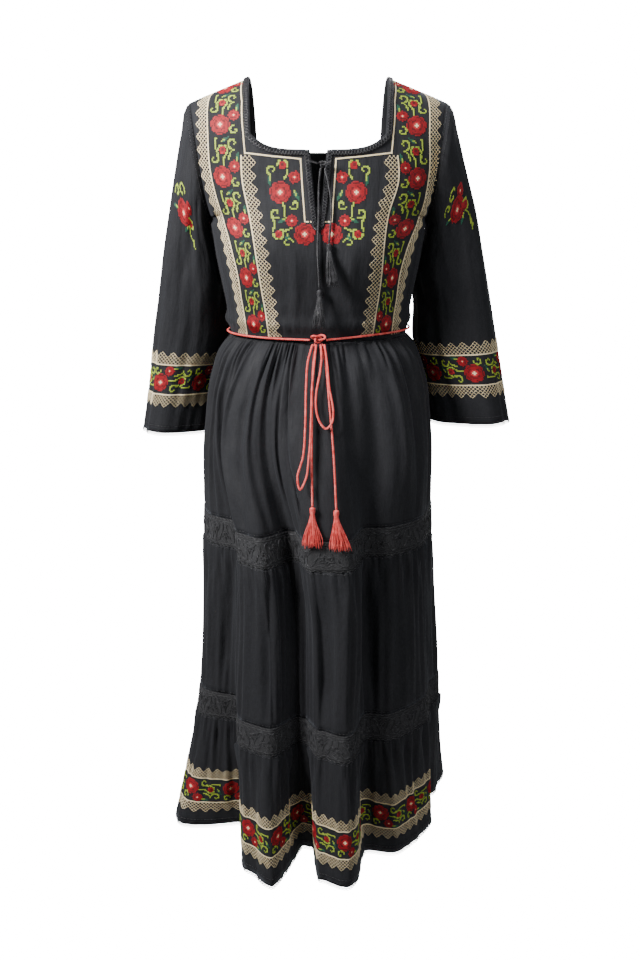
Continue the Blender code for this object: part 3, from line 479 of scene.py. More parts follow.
# Corners of a stitch, by shares across, along and of its rise, and how deep its notches sink
STITCH_CORNERS = (
    (-1, -1, 0.72, 0.0), (1, -1, 0.46, 0.0), (1, 1, 0.72, 0.0), (-1, 1, 0.46, 0.0),
    (0, -0.94, 0.0, -0.25), (0.94, 0, 0.0, -0.25), (0, 0.94, 0.0, -0.25), (-0.94, 0, 0.0, -0.25),
    (0, 0, 1.0, 0.0),
)
GREEN_MARK = 0.56
ARC_REACH = 0.212
STRIP_TOP = -0.0045
STRIP_FOOT = WAIST + 0.006
REPEAT = 36
FLORAL_SHIFT = 35
BORDER_TOP = -0.119
LINE_WIDTH = 0.0022
HEM_PLAIN = 0.028
HEM_CELL = 0.0020
CUFF_PLAIN = 0.048
Motif = namedtuple("Motif", "kind across along size turn")
FLORAL = table(Motif, (
    ("rose", 9.0, 8.0, 7.6, 10),
    ("rose", 18.8, 14.6, 4.1, 40),
    ("bud", 10.5, 26.0, 2.6, 80),
    ("curl", 19.4, 3.8, 3.2, 100),
    ("curl", 3.8, 20.0, -3.2, 60),
    ("curl", 18.0, 30.6, -3.4, 250),
    ("stem", 12.6, 20.0, 4.6, 75),
    ("stem", 6.4, 28.6, 5.4, 100),
    ("stem", 17.0, 23.4, 3.4, 60),
    ("leaf", 21.4, 21.6, 2.8, 80),
    ("leaf", 12.4, 33.4, 2.8, 30),
))
SMALL_ROSE = 5.0
SPRAY_CELLS = 40
SPRAY = table(Motif, (
    ("rose", 18.0, 20.0, 7.8, 10),
    ("rose", 11.5, 12.0, 3.9, 40),
    ("bud", 9.0, 22.0, 2.5, 200),
    ("curl", 22.0, 8.4, 3.8, 200),
    ("curl", 28.5, 13.2, -3.6, 30),
    ("leaf", 28.6, 21.5, 3.0, 20),
    ("leaf", 13.6, 28.6, 3.0, 60),
    ("stem", 8.0, 30.0, 6.0, 115),
    ("stem", 5.4, 36.0, 3.4, 95),
))
YOKE_CELLS = (38, 62)
YOKE_TOP = -0.1215
YOKE = table(Motif, (
    ("bud", 24.4, 5.0, 2.6, 270),
    ("rose", 16.4, 12.6, 4.1, 20),
    ("rose", 25.6, 23.0, 7.6, 10),
    ("rose", 17.6, 42.0, 4.1, 50),
    ("rose", 8.6, 51.4, 7.4, 30),
    ("bud", 27.2, 51.0, 2.6, 90),
    ("curl", 31.6, 8.0, -3.2, 60),
    ("curl", 16.0, 31.0, 3.2, 30),
    ("curl", 29.0, 36.6, -3.4, 120),
    ("curl", 20.6, 57.0, 3.0, 200),
    ("stem", 24.2, 34.0, 4.8, 100),
    ("stem", 22.0, 47.4, 4.0, 10),
    ("stem", 22.2, 11.0, 3.2, 70),
    ("leaf", 24.4, 41.6, 2.8, 30),
    ("leaf", 33.4, 15.0, 2.8, 90),
    ("leaf", 14.6, 25.0, 3.4, 120),
    ("stem", 31.4, 44.0, 4.6, 95),
    ("leaf", 21.0, 53.0, 2.6, 80),
))
# Edges of the flower strips on the front, in millimetres: height and the distances round the
# cloth from the centre line
StripLine = namedtuple("StripLine", "height inner outer")
RIGHT_LINES = thousandths(StripLine, (
    (-2, 126.2, 189),
    (-96, 120.5, 176.5),
    (-157, 119.9, 173.6),
    (-208, 110, 165.5),
    (-258, 101.6, 148),
    (-300, 95.6, 135),
    (-345, 90, 129),
    (-400, 83.8, 126.2),
))
LEFT_LINES = thousandths(StripLine, (
    (-2, 122.5, 190),
    (-96, 121.2, 178.5),
    (-157, 127, 182.2),
    (-208, 112, 181.5),
    (-258, 105.5, 152),
    (-300, 103, 136.5),
    (-345, 99, 132),
    (-400, 92.5, 131),
))
# Cream lines beside the neck binding and the slit, by sideways place and height
NECK_LINES = (
    ((0.1195, -0.006), (0.1175, -0.040), (0.1145, -0.090), (0.1125, -0.1160)),
    ((0.1125, -0.1155), (0.0700, -0.1205), (0.0270, -0.1245)),
    ((0.0270, -0.1245), (0.0245, -0.1650), (0.0205, -0.2160)),
)
SLIT_LINE = -0.2165
SLIT_LINE_SPAN = (-0.018, 0.018, 9)

# Section of a binding: shares of its width and the height over the cloth
BINDING_SECTION = (
    (-0.05, -0.0008), (-0.04, 0.0012), (0.08, 0.0020), (0.35, 0.0021),
    (0.65, 0.0021), (0.92, 0.0019), (1.02, 0.0011), (1.03, 0.0000),
)
PICOT_PITCH = 0.0060
PICOT_THREAD = 0.00055
CHAIN_THREAD = 0.00075
BEAD_RISE = 0.0003
LOOP_TOP = 0.42
BRAID_PITCH = 0.0046
BRAID_MIDDLE = 3.6
BRAID_SWING = 1.3
BRAID_LIFT = 0.0005
BRAID_THREAD = 0.00062
SEAM_PITCH = 0.0064
SEAM_THREAD = 0.00032
SEAM_MARGIN = 0.004
CUFF_TURNING = 0.012
HEM_TURNING = 0.011
# One sewn stitch: shares of its pitch and the height of the thread over the cloth
SEAM_STITCH = ((0.14, -0.0001), (0.32, 0.00045), (0.68, 0.00045), (0.86, -0.0001))

COTTON_COLOUR = (0.0050, 0.0052, 0.0066)
COTTON_PALE = (0.0120, 0.0128, 0.0166)
LACE_COLOUR = (0.0050, 0.0050, 0.0055)
LACE_PALE = (0.0330, 0.0335, 0.0360)
WEAVE_SCALE = 620.0
MID_NOISE = (0.3, 0.7)
SPECULAR = 0.35
LACE_THREAD_COLOURS = ((0.012, 0.012, 0.013), (0.060, 0.061, 0.066))
BLACK_CORD_COLOURS = ((0.010, 0.010, 0.011), (0.050, 0.050, 0.055))
CORAL = (0.560, 0.035, 0.032)
CORAL_PALE = (0.860, 0.170, 0.150)
FLOSS = (
    ("red", (0.240, 0.002, 0.006), (0.340, 0.005, 0.012)),
    ("dark_red", (0.075, 0.002, 0.004), (0.140, 0.004, 0.008)),
    ("cream", (0.820, 0.660, 0.380), (0.950, 0.820, 0.560)),
    ("green", (0.260, 0.360, 0.025), (0.400, 0.500, 0.060)),
    ("teal", (0.008, 0.060, 0.034), (0.018, 0.105, 0.060)),
    ("pink", (0.440, 0.020, 0.026), (0.560, 0.046, 0.050)),
)
# Row and column of the middle of each sleeve's spray
SPRAY_SPOTS = (("right", (13.0, 18.0)), ("left", (13.0, 20.0)))
FLOOR = -1.62
SWEEP_GLOW = 18.0
SURROUND = 0.085
SWEEP_BEND = 0.9
SENSOR = 36.0
FOCAL_SHARE = 993 / 960
CAMERA_PLACE = (0.0026, -1.70, -0.15)
CAMERA_DIP = 17
# Lights: place, size, power in watts, colour and the place it is turned to
LIGHTS = (
    ("key", (-1.45, -1.10, 0.80), (0.6, 0.6), 165.0, (1.0, 0.99, 0.98), (0.0, 0.0, 0.80)),
    ("fill", (1.5, -1.7, 0.9), (0.9, 0.9), 30.0, (0.96, 0.98, 1.0), (0.0, 0.0, 0.40)),
    ("top", (0.0, -0.2, 2.0), (2.0, 1.2), 26.0, (1.0, 1.0, 1.0), (0.0, 0.0, -0.65)),
    ("behind", (0.9, 2.1, 0.7), (1.2, 1.2), 34.0, (0.97, 0.98, 1.0), (0.0, 0.0, -0.5)),
)


def through(levels, values, at):
    """Smooth curve through the values at rising levels, read at one level or many."""
    levels = np.asarray(levels, float)
    values = np.asarray(values, float)
    slopes = np.gradient(values, levels, axis=0)
    at = np.asarray(at, float)
    i = np.clip(np.searchsorted(levels, at) - 1, 0, len(levels) - 2)
    step = levels[i + 1] - levels[i]
    t = np.clip((at - levels[i]) / step, 0.0, 1.0)
    if values.ndim > 1:
        step = np.expand_dims(step, -1)
        t = np.expand_dims(t, -1)
    return (
        (2 * t**3 - 3 * t**2 + 1) * values[i]
        + (t**3 - 2 * t**2 + t) * step * slopes[i]
        + (3 * t**2 - 2 * t**3) * values[i + 1]
        + (t**3 - t**2) * step * slopes[i + 1]
    )


def section_at(sections, height):
    """Half width, front depth and back depth of the plain section at a height."""
    drops = [-s.height for s in sections]
    sizes = [(s.half_width, s.front, s.back) for s in sections]
    return np.moveaxis(through(drops, sizes, -np.asarray(height, float)), -1, 0)


def smooth(t):
    t = np.clip(t, 0.0, 1.0)
    return t * t * (3 - 2 * t)


# Skirt form


def skirt_curve(height, marks=None):
    """Plan curve of the skirt at a height, as cloth coordinates and x and y.

    The cloth coordinate is 0 at the wearer's right side seam, 0.5 at the left one, and stays the
    same along each fold from waist to hem.
    """
    drops = [-level for level in FOLD_LEVELS]
    angles = [(f.at_waist, f.at_waist, f.at_lace_1, f.at_lace_2, f.at_hem) for f in FOLDS]
    reaches = [(0, f.reach_hip, f.reach_lace_1, f.reach_lace_2, f.reach_hem) for f in FOLDS]
    angle = np.radians(through(drops, np.transpose(angles), -height))
    reach = through(drops, np.transpose(reaches), -height) / 1000
    half_width, front, back = section_at(SKIRT, height)
    t = np.linspace(0.0, 1.0, FINE_STEPS, endpoint=False)
    ease = (1 - np.cos(math.pi * t)) / 2
    turn = (angle[:-1, None] + np.diff(angle)[:, None] * t).ravel()
    out = (reach[:-1, None] + np.diff(reach)[:, None] * ease).ravel()
    turn = np.append(turn, angle[-1])
    out = np.append(out, reach[-1])
    depth = np.where(np.cos(turn) > 0, front, back)
    radius = 1 / np.hypot(np.sin(turn) / half_width, np.cos(turn) / depth) + out
    x = radius * np.sin(turn)
    y = -radius * np.cos(turn)
    run = np.concatenate([[0.0], np.cumsum(np.hypot(np.diff(x), np.diff(y)))])
    at_folds = run[::FINE_STEPS]
    if marks is None:
        seam = [f.name for f in FOLDS].index("left_seam")
        marks = np.interp(at_folds, [0.0, at_folds[seam], at_folds[-1]], [0.0, 0.5, 1.0])
    return np.interp(run, at_folds, marks), x, y


def fold_marks():
    """Cloth coordinate of each fold, from its share of the hem."""
    cloth, _, _ = skirt_curve(HEM)
    return cloth[::FINE_STEPS]


MARKS = fold_marks()


def skirt_ring(height, cloth, out=0.0):
    """Points of the skirt at a height for cloth coordinates, moved out along the plan normal."""
    known, x, y = skirt_curve(height, MARKS)
    cloth = np.asarray(cloth, float)
    px = np.interp(cloth, known, x)
    py = np.interp(cloth, known, y)
    ahead = np.mod(cloth + NORMAL_STEP, 1.0)
    behind = np.mod(cloth - NORMAL_STEP, 1.0)
    dx = np.interp(ahead, known, x) - np.interp(behind, known, x)
    dy = np.interp(ahead, known, y) - np.interp(behind, known, y)
    length = np.hypot(dx, dy)
    z = np.full_like(px, height)
    return np.stack([px + out * dy / length, py - out * dx / length, z], axis=-1)


def hem_lift(cloth):
    """How far the hem hangs above its lowest level: the hips lift it at the two sides."""
    known, x, y = skirt_curve(HEM, MARKS)
    x, y = np.interp(cloth, known, x), np.interp(cloth, known, y)
    return HEM_SIDE_LIFT * (x / np.hypot(x, y)) ** 4


# Bodice form


def shoulder_height(x):
    share = (np.abs(x) - NECK_POINT) / (SHOULDER_TIP - NECK_POINT)
    return -SHOULDER_DROP * np.clip(share, -0.3, 1.3)


def slant_rise(fold, x, height):
    """Rise of a slanting fold, fading at both of its ends."""
    share = (height - fold.z_foot) / (fold.z_top - fold.z_foot)
    middle = fold.x_foot + (fold.x_top - fold.x_foot) * share
    fade = smooth(share * 4) * smooth((1 - share) * 3)
    return fold.rise * fade * np.exp(-(((x - middle) / fold.spread) ** 2))


def bodice_depth(x, height, side):
    """Y of the bodice at a place: side is -1 on the front and +1 on the back."""
    half_width, front, back = section_at(BODICE, np.asarray(height, float))
    depth = front if side < 0 else back
    share = np.clip(np.abs(x) / half_width, 0.0, 1.0)
    power = 2 + CHEST_SQUARENESS * smooth((height - WAIST) / WAIST_BLEND)
    across = (1 - share**power) ** (1 / power)
    below = np.clip((shoulder_height(x) - height) / SHOULDER_ROLL, 0.0, 1.0)
    roll = np.sqrt(np.clip(1 - (1 - below) ** 2, 0.0, 1.0))
    y = depth * across * roll
    if side < 0:
        for middle in (-BUST_APART, BUST_APART):
            far = np.hypot(x - middle, height - BUST_HEIGHT) / BUST_SPREAD
            y = y + BUST_RISE * np.exp(-(far**2))
    for fold in SLANT_FOLDS:
        if fold.side == side:
            y = y + slant_rise(fold, np.abs(x), height)
    return side * np.where(share >= 0.9999, 0.0, y)


def armhole(angle, hand):
    """Point of the armhole seam: 0 at the shoulder tip, pi at the underarm, the front between."""
    down = (1 - np.cos(angle)) / 2
    x = hand * (SHOULDER_TIP - ARMHOLE_TUCK * down**0.75)
    y = -ARMHOLE_HALF_DEPTH * np.sin(angle)
    z = -SHOULDER_DROP - 2 * ARMHOLE_HALF_HEIGHT * down
    return np.stack([x, y, z], axis=-1)


def neckline_height(x, corner):
    share = np.clip(np.abs(x) / corner, 0.0, 1.0)
    return NECK_BOTTOM + (NECK_CORNER_HEIGHT - NECK_BOTTOM) * share**NECK_SQUARENESS


def neck_edge(height, corner):
    """Half width of the neck opening above its corners."""
    share = np.clip((height - NECK_CORNER_HEIGHT) / -NECK_CORNER_HEIGHT, 0.0, 1.0)
    return corner + (NECK_POINT - corner) * share


def slit_half(height):
    share = np.clip((height - SLIT_BOTTOM) / (NECK_BOTTOM - SLIT_BOTTOM), 0.0, 1.0)
    return SLIT_BOTTOM_HALF + (SLIT_TOP_HALF - SLIT_BOTTOM_HALF) * share


def bodice_row(height, side, hand):
    """Half a row below the armholes, from the centre line to the side seam."""
    half_width = float(section_at(BODICE, height)[0])
    steps = SIDE_STEPS + MIDDLE_STEPS
    angle = np.linspace(0.0, math.pi / 2, steps + 1)
    x = hand * half_width * np.sin(angle)
    z = np.full_like(x, height)
    return np.stack([x, bodice_depth(x, z, side), z], axis=-1)


def chest_row(t, side, hand, corner):
    """Half a row level with the armholes: t is 0 at the underarm and 1 at the shoulder seam."""
    arm = armhole(np.array(math.pi * (1 - t)), hand)
    arm[1] *= -side
    low = t <= CHEST_SHARE
    if low:
        rise = t / CHEST_SHARE
        x_corner = corner
        z_corner = SLIT_BOTTOM + (NECK_CORNER_HEIGHT - SLIT_BOTTOM) * rise
    else:
        rise = (t - CHEST_SHARE) / (1 - CHEST_SHARE)
        z_corner = NECK_CORNER_HEIGHT * (1 - rise) ** 1.4
        x_corner = float(neck_edge(z_corner, corner))
    outer = np.linspace(0.0, 1.0, SIDE_STEPS + 1)
    x = hand * (x_corner + (abs(arm[0]) - x_corner) * outer)
    z = z_corner + (arm[2] - z_corner) * outer
    y = bodice_depth(x, z, side)
    y = y + (arm[1] - y[-1]) * smooth((outer - ARMHOLE_BLEND) / (1 - ARMHOLE_BLEND))
    row = np.stack([x, y, z], axis=-1)
    if not low:
        return row
    inner = np.array(MIDDLE_SHARES[:-1])
    inside = SLIT_BOTTOM + (NECK_BOTTOM - SLIT_BOTTOM) * rise
    start = float(slit_half(inside)) if side < 0 else 0.0
    x = hand * (start + (x_corner - start) * inner)
    z = SLIT_BOTTOM + (neckline_height(x, corner) - SLIT_BOTTOM) * rise
    middle = np.stack([x, bodice_depth(x, z, side), z], axis=-1)
    return np.concatenate([middle, row])


def bodice_rows(side, hand):
    """All rows of one half of a bodice panel, from the waist up to the shoulder seam."""
    corner = NECK_CORNER + (BACK_NECK_EXTRA if side > 0 else 0.0)
    heights = np.linspace(WAIST + SEAM_GAP, SLIT_POINT, LOWER_STEPS)
    rows = [bodice_row(height, side, hand) for height in heights]
    shares = list(np.linspace(0.0, CHEST_SHARE, CHEST_STEPS + 1))
    shares += list(np.linspace(CHEST_SHARE, 1.0, SHOULDER_STEPS + 1)[1:])
    rows += [chest_row(share, side, hand, corner) for share in shares]
    for row in rows:
        row[-1, 1] += side * SIDE_SEAM_GAP / 2
    for row in rows[LOWER_STEPS:]:
        row[-1, 0] -= hand * ARMHOLE_GAP
    rows[-1][:, 1] = side * SIDE_SEAM_GAP / 2
    return rows

def nearest(trees, point):
    """Closest place on some panels, and the direction out of the cloth there."""
    found = min((tree.find_nearest(point) for tree in trees), key=lambda hit: hit[3])
    return found[0], found[1]

# Sleeves


def sleeve_ring(row, hand, turns):
    """Points of a ring of a sleeve; turns start at the outer line and pass over the front."""
    half_x = (row.outer_x - row.inner_x) / 2
    half_z = (row.outer_z - row.inner_z) / 2
    middle = np.array([hand * (row.inner_x + half_x), row.middle_y, row.inner_z + half_z])
    inward = ((1 - np.cos(turns)) / 2) ** 2
    ring = middle + np.cos(turns)[:, None] * (hand * half_x, 0.0, half_z)
    ring[:, 1] += row.inner_back * inward - row.half_depth * np.sin(turns)
    return ring


def sleeve_folds(share, turns):
    """Rise of the long folds at a share of the sleeve's length."""
    rise = np.zeros_like(turns)
    for fold in SLEEVE_FOLDS:
        turn = math.radians(fold.turn_top + (fold.turn_cuff - fold.turn_top) * share)
        height = through((0.0, 0.5, 1.0), (fold.at_top, fold.at_elbow, fold.at_cuff), share)
        off = np.mod(turns - turn + math.pi, 2 * math.pi) - math.pi
        rise += height * np.exp(-((off / math.radians(fold.spread)) ** 2))
    return rise


def sleeve_rows(table, hand, turns):
    """All rings of a sleeve, from the armhole seam to the cuff."""
    rows = [armhole(turns, hand)]
    last = len(table) - 1
    for i, ring in enumerate(table):
        row = sleeve_ring(ring, hand, turns)
        middle = row.mean(axis=0)
        out = row - middle
        out /= np.linalg.norm(out, axis=1)[:, None]
        share = i / last
        rows.append(row + out * (sleeve_folds(share, turns) * smooth(share * 4))[:, None])
    return rows


def route(points, spacing):
    """Evenly spaced points along a smooth line through the given ones."""
    points = np.array(points, float)
    run = lengths_of(points)
    count = max(int(round(run[-1] / spacing)), 3)
    return through(run, points, np.linspace(0.0, run[-1], count + 1))


def front_of(x, height, spread, out):
    """Y just in front of the dress near a place on its front."""
    if height > WAIST:
        near = x + np.linspace(-spread, spread, 7)
        return float(np.min(bodice_depth(near, np.full(7, height), -1))) - out
    _, px, py = skirt_curve(height, MARKS)
    near = (np.abs(px - x) < spread) & (py < 0)
    return float(np.min(py[near])) - out


def hanging(turns, spread, out, start_y):
    """Route of a cord that hangs down the front of the dress from a knot."""
    points = [(x, min(front_of(x, height, spread, out), start_y), height) for x, height in turns]
    points[0] = (turns[0][0], start_y, turns[0][1])
    if turns[-1][1] == turns[0][1]:
        points[-1] = (turns[-1][0], start_y, turns[-1][1])
    return points


# The shown meshes


def mesh_of(name, points, faces):
    """Mesh from an array of points and one of faces that all have as many corners."""
    mesh = bpy.data.meshes.new(name)
    faces = np.asarray(faces, np.int32)
    mesh.vertices.add(len(points))
    mesh.vertices.foreach_set("co", np.asarray(points, np.float32).ravel())
    mesh.loops.add(faces.size)
    mesh.loops.foreach_set("vertex_index", faces.ravel())
    mesh.polygons.add(len(faces))
    starts = np.arange(0, faces.size, faces.shape[1], dtype=np.int32)
    mesh.polygons.foreach_set("loop_start", starts)
    mesh.update(calc_edges=True)
    mesh.shade_smooth()
    return mesh


def add_uv(mesh, uvs):
    """Places on the flat cloth, in metres, for each face corner."""
    layer = mesh.uv_layers.new(name="cloth")
    layer.data.foreach_set("uv", np.asarray(uvs, np.float32).ravel())


def piece(name, mesh, looks, stands_for=(), thickness=0.0):
    """A shown piece of the dress that rides on it."""
    obj = bpy.data.objects.new(name + SHOWN if name in stands_for else name, mesh)
    bpy.context.scene.collection.objects.link(obj)
    for look in looks:
        mesh.materials.append(look)
    if thickness:
        solidify = obj.modifiers.new("cloth", "SOLIDIFY")
        solidify.thickness = thickness
        solidify.offset = -1.0
        solidify.use_even_offset = False
    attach(obj, ROOT)
    if stands_for:
        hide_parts(*stands_for)
    return obj


def unit(vectors):
    return vectors / np.maximum(np.linalg.norm(vectors, axis=-1, keepdims=True), 1e-12)


def lengths_of(points):
    """Distance run along a line of points, at each of them."""
    steps = np.linalg.norm(np.diff(points, axis=0), axis=1)
    return np.concatenate([[0.0], np.cumsum(steps)])


def read_line(values, run, at):
    """Values known along a line, read at other distances along it."""
    return np.stack([np.interp(at, run, values[:, k]) for k in range(3)], axis=-1)


def even(points, step):
    """A line of points spaced evenly, about a step apart."""
    points = np.asarray(points, float)
    run = lengths_of(points)
    count = max(int(round(run[-1] / step)), 2)
    return read_line(points, run, np.linspace(0.0, run[-1], count + 1))


def sideways(along, up):
    """Directions across a line and up from it, where up is one direction or one at each point."""
    side = unit(np.cross(along, np.broadcast_to(np.asarray(up, float), along.shape)))
    return side, unit(np.cross(side, along))


class Threads:
    """Many thin round threads gathered into one mesh."""

    def __init__(self):
        self.points = []
        self.faces = []
        self.count = 0

    def add(self, line, radius, up, sides=5, closed=False):
        """A tube along a line; up is a direction, or one for each point, never along the line."""
        line = np.asarray(line, float)
        if closed:
            along = np.roll(line, -1, axis=0) - np.roll(line, 1, axis=0)
        else:
            along = np.gradient(line, axis=0)
        side, rise = sideways(along, up)
        radius = np.broadcast_to(np.asarray(radius, float), len(line))[:, None, None]
        turn = (2 * math.pi * np.arange(sides) / sides)[:, None]
        ring = np.cos(turn) * side[:, None] + np.sin(turn) * rise[:, None]
        points = line[:, None] + radius * ring
        index = self.count + np.arange(len(line) * sides).reshape(len(line), sides)
        if closed:
            index = np.concatenate([index, index[:1]])
        low, high = index[:-1], index[1:]
        quads = np.stack([low, np.roll(low, -1, 1), np.roll(high, -1, 1), high], axis=-1)
        self.faces.append(quads.reshape(-1, 4))
        self.points.append(points.reshape(-1, 3))
        self.count += points.shape[0] * sides
        if closed:
            return
        first, last = index[0], index[-1]
        fans = ((line[:1], np.roll(first, -1), first), (line[-1:], last, np.roll(last, -1)))
        for tip, near, far in fans:
            self.faces.append(np.stack([np.full(sides, self.count), near, far, far], axis=-1))
            self.points.append(tip)
            self.count += 1

    def mesh(self, name):
        """The mesh of all the threads, with the doubled corners of the end fans taken out."""
        faces = np.concatenate(self.faces)
        fans = faces[faces[:, 2] == faces[:, 3]]
        quads = faces[faces[:, 2] != faces[:, 3]]
        points = np.concatenate(self.points)
        split = np.concatenate([quads[:, (0, 1, 2)], quads[:, (0, 2, 3)], fans[:, :3]])
        return mesh_of(name, points, split)


def twisted(threads, line, diameter, up, step=0.0014):
    """Adds a cord of three twisted plies along a line, and gives back the line it follows."""
    line = even(line, step)
    run = lengths_of(line)
    side, rise = sideways(np.gradient(line, axis=0), up)
    for ply in range(PLIES):
        turn = (2 * math.pi * (run / PLY_PITCH + ply / PLIES))[:, None]
        off = np.cos(turn) * side + np.sin(turn) * rise
        threads.add(line + PLY_OFFSET * diameter * off, PLY_RADIUS * diameter, up)
    return line


class Tube:
    """Cloth that runs all round, as rows of points from its top edge down."""

    def __init__(self, points, outward=1.0):
        self.points = points
        wrapped = np.concatenate([points[:, -1:], points, points[:, :1]], axis=1)
        along = wrapped[:, 2:] - wrapped[:, :-2]
        down = np.gradient(points, axis=0)
        self.normals = unit(np.cross(down, along)) * outward
        self.outward = outward
        middle = points[len(points) // 2]
        self.around = lengths_of(np.concatenate([middle, middle[:1]]))
        steps = np.linalg.norm(np.diff(points, axis=0), axis=2).mean(axis=1)
        self.down = np.concatenate([[0.0], np.cumsum(steps)])

    def read(self, values, row, column):
        """A value between the rows and columns it is known at."""
        rows, columns = values.shape[:2]
        row = np.clip(row, 0, rows - 1.000001)
        top = row.astype(int)
        low = (row - top)[..., None]
        left = np.floor(column).astype(int)
        right = (column - left)[..., None]
        left = np.mod(left, columns)
        beside = np.mod(left + 1, columns)
        upper = values[top, left] * (1 - right) + values[top, beside] * right
        lower = values[top + 1, left] * (1 - right) + values[top + 1, beside] * right
        return upper * (1 - low) + lower * low

    def at(self, row, column):
        """Places on the cloth and the directions out of it."""
        return self.read(self.points, row, column), unit(self.read(self.normals, row, column))

    def row_above_foot(self, distance):
        """Row number at a distance above the lower edge."""
        return np.interp(self.down[-1] - distance, self.down, np.arange(len(self.down)))

    def mesh(self, name, start=0, stop=None):
        """Mesh of the whole tube, or of the columns from start to stop."""
        rows, columns = self.points.shape[:2]
        closed = stop is None
        stop = columns if closed else stop
        numbers = np.arange(start, stop + 1)
        u = np.interp(numbers, np.arange(columns + 1), self.around)
        kept = numbers[:-1] if closed else numbers
        points = self.points[:, np.mod(kept, columns)]
        width = len(kept)
        cell = np.arange(stop - start)
        after = np.mod(cell + 1, width)
        row = np.arange(rows - 1)[:, None] * width
        corners = [row + cell, row + width + cell, row + width + after, row + after]
        top, foot = -self.down[:-1, None], -self.down[1:, None]
        uvs = [
            np.stack(np.broadcast_arrays(u[cell + ahead], level), axis=-1)
            for ahead, level in ((0, top), (0, foot), (1, foot), (1, top))
        ]
        if self.outward < 0:
            corners = corners[::-1]
            uvs = uvs[::-1]
        mesh = mesh_of(name, points.reshape(-1, 3), np.stack(corners, axis=-1).reshape(-1, 4))
        add_uv(mesh, np.stack(uvs, axis=2))
        return mesh


# Materials


def material(name, colour, roughness, sheen=0.0, sheen_tint=(1.0, 1.0, 1.0), sheen_roughness=0.5):
    """A plain material, its node tree and its shader."""
    made = bpy.data.materials.new(name)
    made.use_nodes = True
    shader = made.node_tree.nodes["Principled BSDF"]
    for socket, value in (
        ("Base Color", (*colour, 1.0)),
        ("Roughness", roughness),
        ("Sheen Weight", sheen),
        ("Sheen Tint", (*sheen_tint, 1.0)),
        ("Sheen Roughness", sheen_roughness),
        ("Specular IOR Level", SPECULAR),
    ):
        shader.inputs[socket].default_value = value
    return made, made.node_tree, shader


def link_all(tree, shader, colour, roughness, normal):
    """Joins what the textures give to the shader."""
    for socket, value in (("Base Color", colour), ("Roughness", roughness), ("Normal", normal)):
        tree.links.new(value, shader.inputs[socket])


def add_node(tree, kind, settings=None, **inputs):
    """A node with its settings, and its inputs by name, as values or as links."""
    made = tree.nodes.new(kind)
    for key, value in (settings or {}).items():
        setattr(made, key, value)
    for key, value in inputs.items():
        fill(tree, made.inputs[key], value)
    return made


def fill(tree, socket, value):
    """Links an output into a socket, or sets the socket to a value."""
    if isinstance(value, bpy.types.NodeSocket):
        tree.links.new(value, socket)
    else:
        socket.default_value = value


def worked_out(tree, operation, *values):
    """Result of a sum on outputs and numbers."""
    made = add_node(tree, "ShaderNodeMath", {"operation": operation})
    for socket, value in zip(made.inputs, values):
        fill(tree, socket, value)
    return made.outputs[0]


def noise(tree, where, scale, detail=3.0):
    """Cloudy noise, stretched where the scale gives one number for each axis."""
    if isinstance(scale, tuple):
        where = add_node(tree, "ShaderNodeMapping", Vector=where, Scale=scale).outputs[0]
        scale = 1.0
    made = add_node(
        tree, "ShaderNodeTexNoise", Vector=where, Scale=scale, Detail=detail, Roughness=0.6
    )
    return made.outputs["Fac"]


def mixed(tree, share, first, second):
    """Colour between two, by a share that a texture gives."""
    made = add_node(tree, "ShaderNodeMix", {"data_type": "RGBA"})
    tree.links.new(share, made.inputs[0])
    made.inputs[6].default_value = (*first, 1.0)
    made.inputs[7].default_value = (*second, 1.0)
    return made.outputs[2]


def ramp(tree, value, low, high, low_to=0.0, high_to=1.0):
    """A value between two levels, spread between two others."""
    made = add_node(tree, "ShaderNodeMapRange", Value=value)
    for socket, level in zip(list(made.inputs)[1:5], (low, high, low_to, high_to)):
        socket.default_value = level
    return made.outputs[0]


def bump(tree, height, strength, distance, below=None):
    """A normal raised by a height, over the normal below it."""
    made = add_node(tree, "ShaderNodeBump", Height=height, Strength=strength, Distance=distance)
    if below is not None:
        tree.links.new(below, made.inputs["Normal"])
    return made.outputs[0]


def cotton_look():
    """Crinkled black cotton lawn: its weave, slubs, fine creases and a soft grey bloom."""
    made, tree, shader = material(
        "black_cotton_look", COTTON_COLOUR, 0.82, 0.07, (0.62, 0.68, 0.80), 0.40
    )
    flat = add_node(tree, "ShaderNodeUVMap", {"uv_map": "cloth"}).outputs[0]
    across, along = (
        add_node(
            tree,
            "ShaderNodeTexWave",
            {"wave_type": "BANDS", "wave_profile": "SIN", "bands_direction": direction},
            Vector=flat,
            Scale=WEAVE_SCALE,
        ).outputs["Fac"]
        for direction in "XY"
    )
    weave = worked_out(tree, "MULTIPLY", across, along)
    slubs = noise(tree, flat, (1500.0, 90.0, 1.0))
    picks = noise(tree, flat, (70.0, 1400.0, 1.0))
    creases = noise(tree, flat, (95.0, 17.0, 1.0), 4.0)
    soft = noise(tree, flat, (26.0, 12.0, 1.0), 2.0)
    worn = ramp(tree, worked_out(tree, "MULTIPLY", slubs, picks), 0.12, 0.42)
    normal = bump(tree, soft, 0.45, 0.0050)
    normal = bump(tree, creases, 0.70, 0.0026, normal)
    normal = bump(tree, slubs, 0.25, 0.0003, normal)
    normal = bump(tree, weave, 0.30, 0.00018, normal)
    colour = mixed(tree, worn, COTTON_COLOUR, COTTON_PALE)
    link_all(tree, shader, colour, ramp(tree, soft, *MID_NOISE, 0.74, 0.92), normal)
    return made


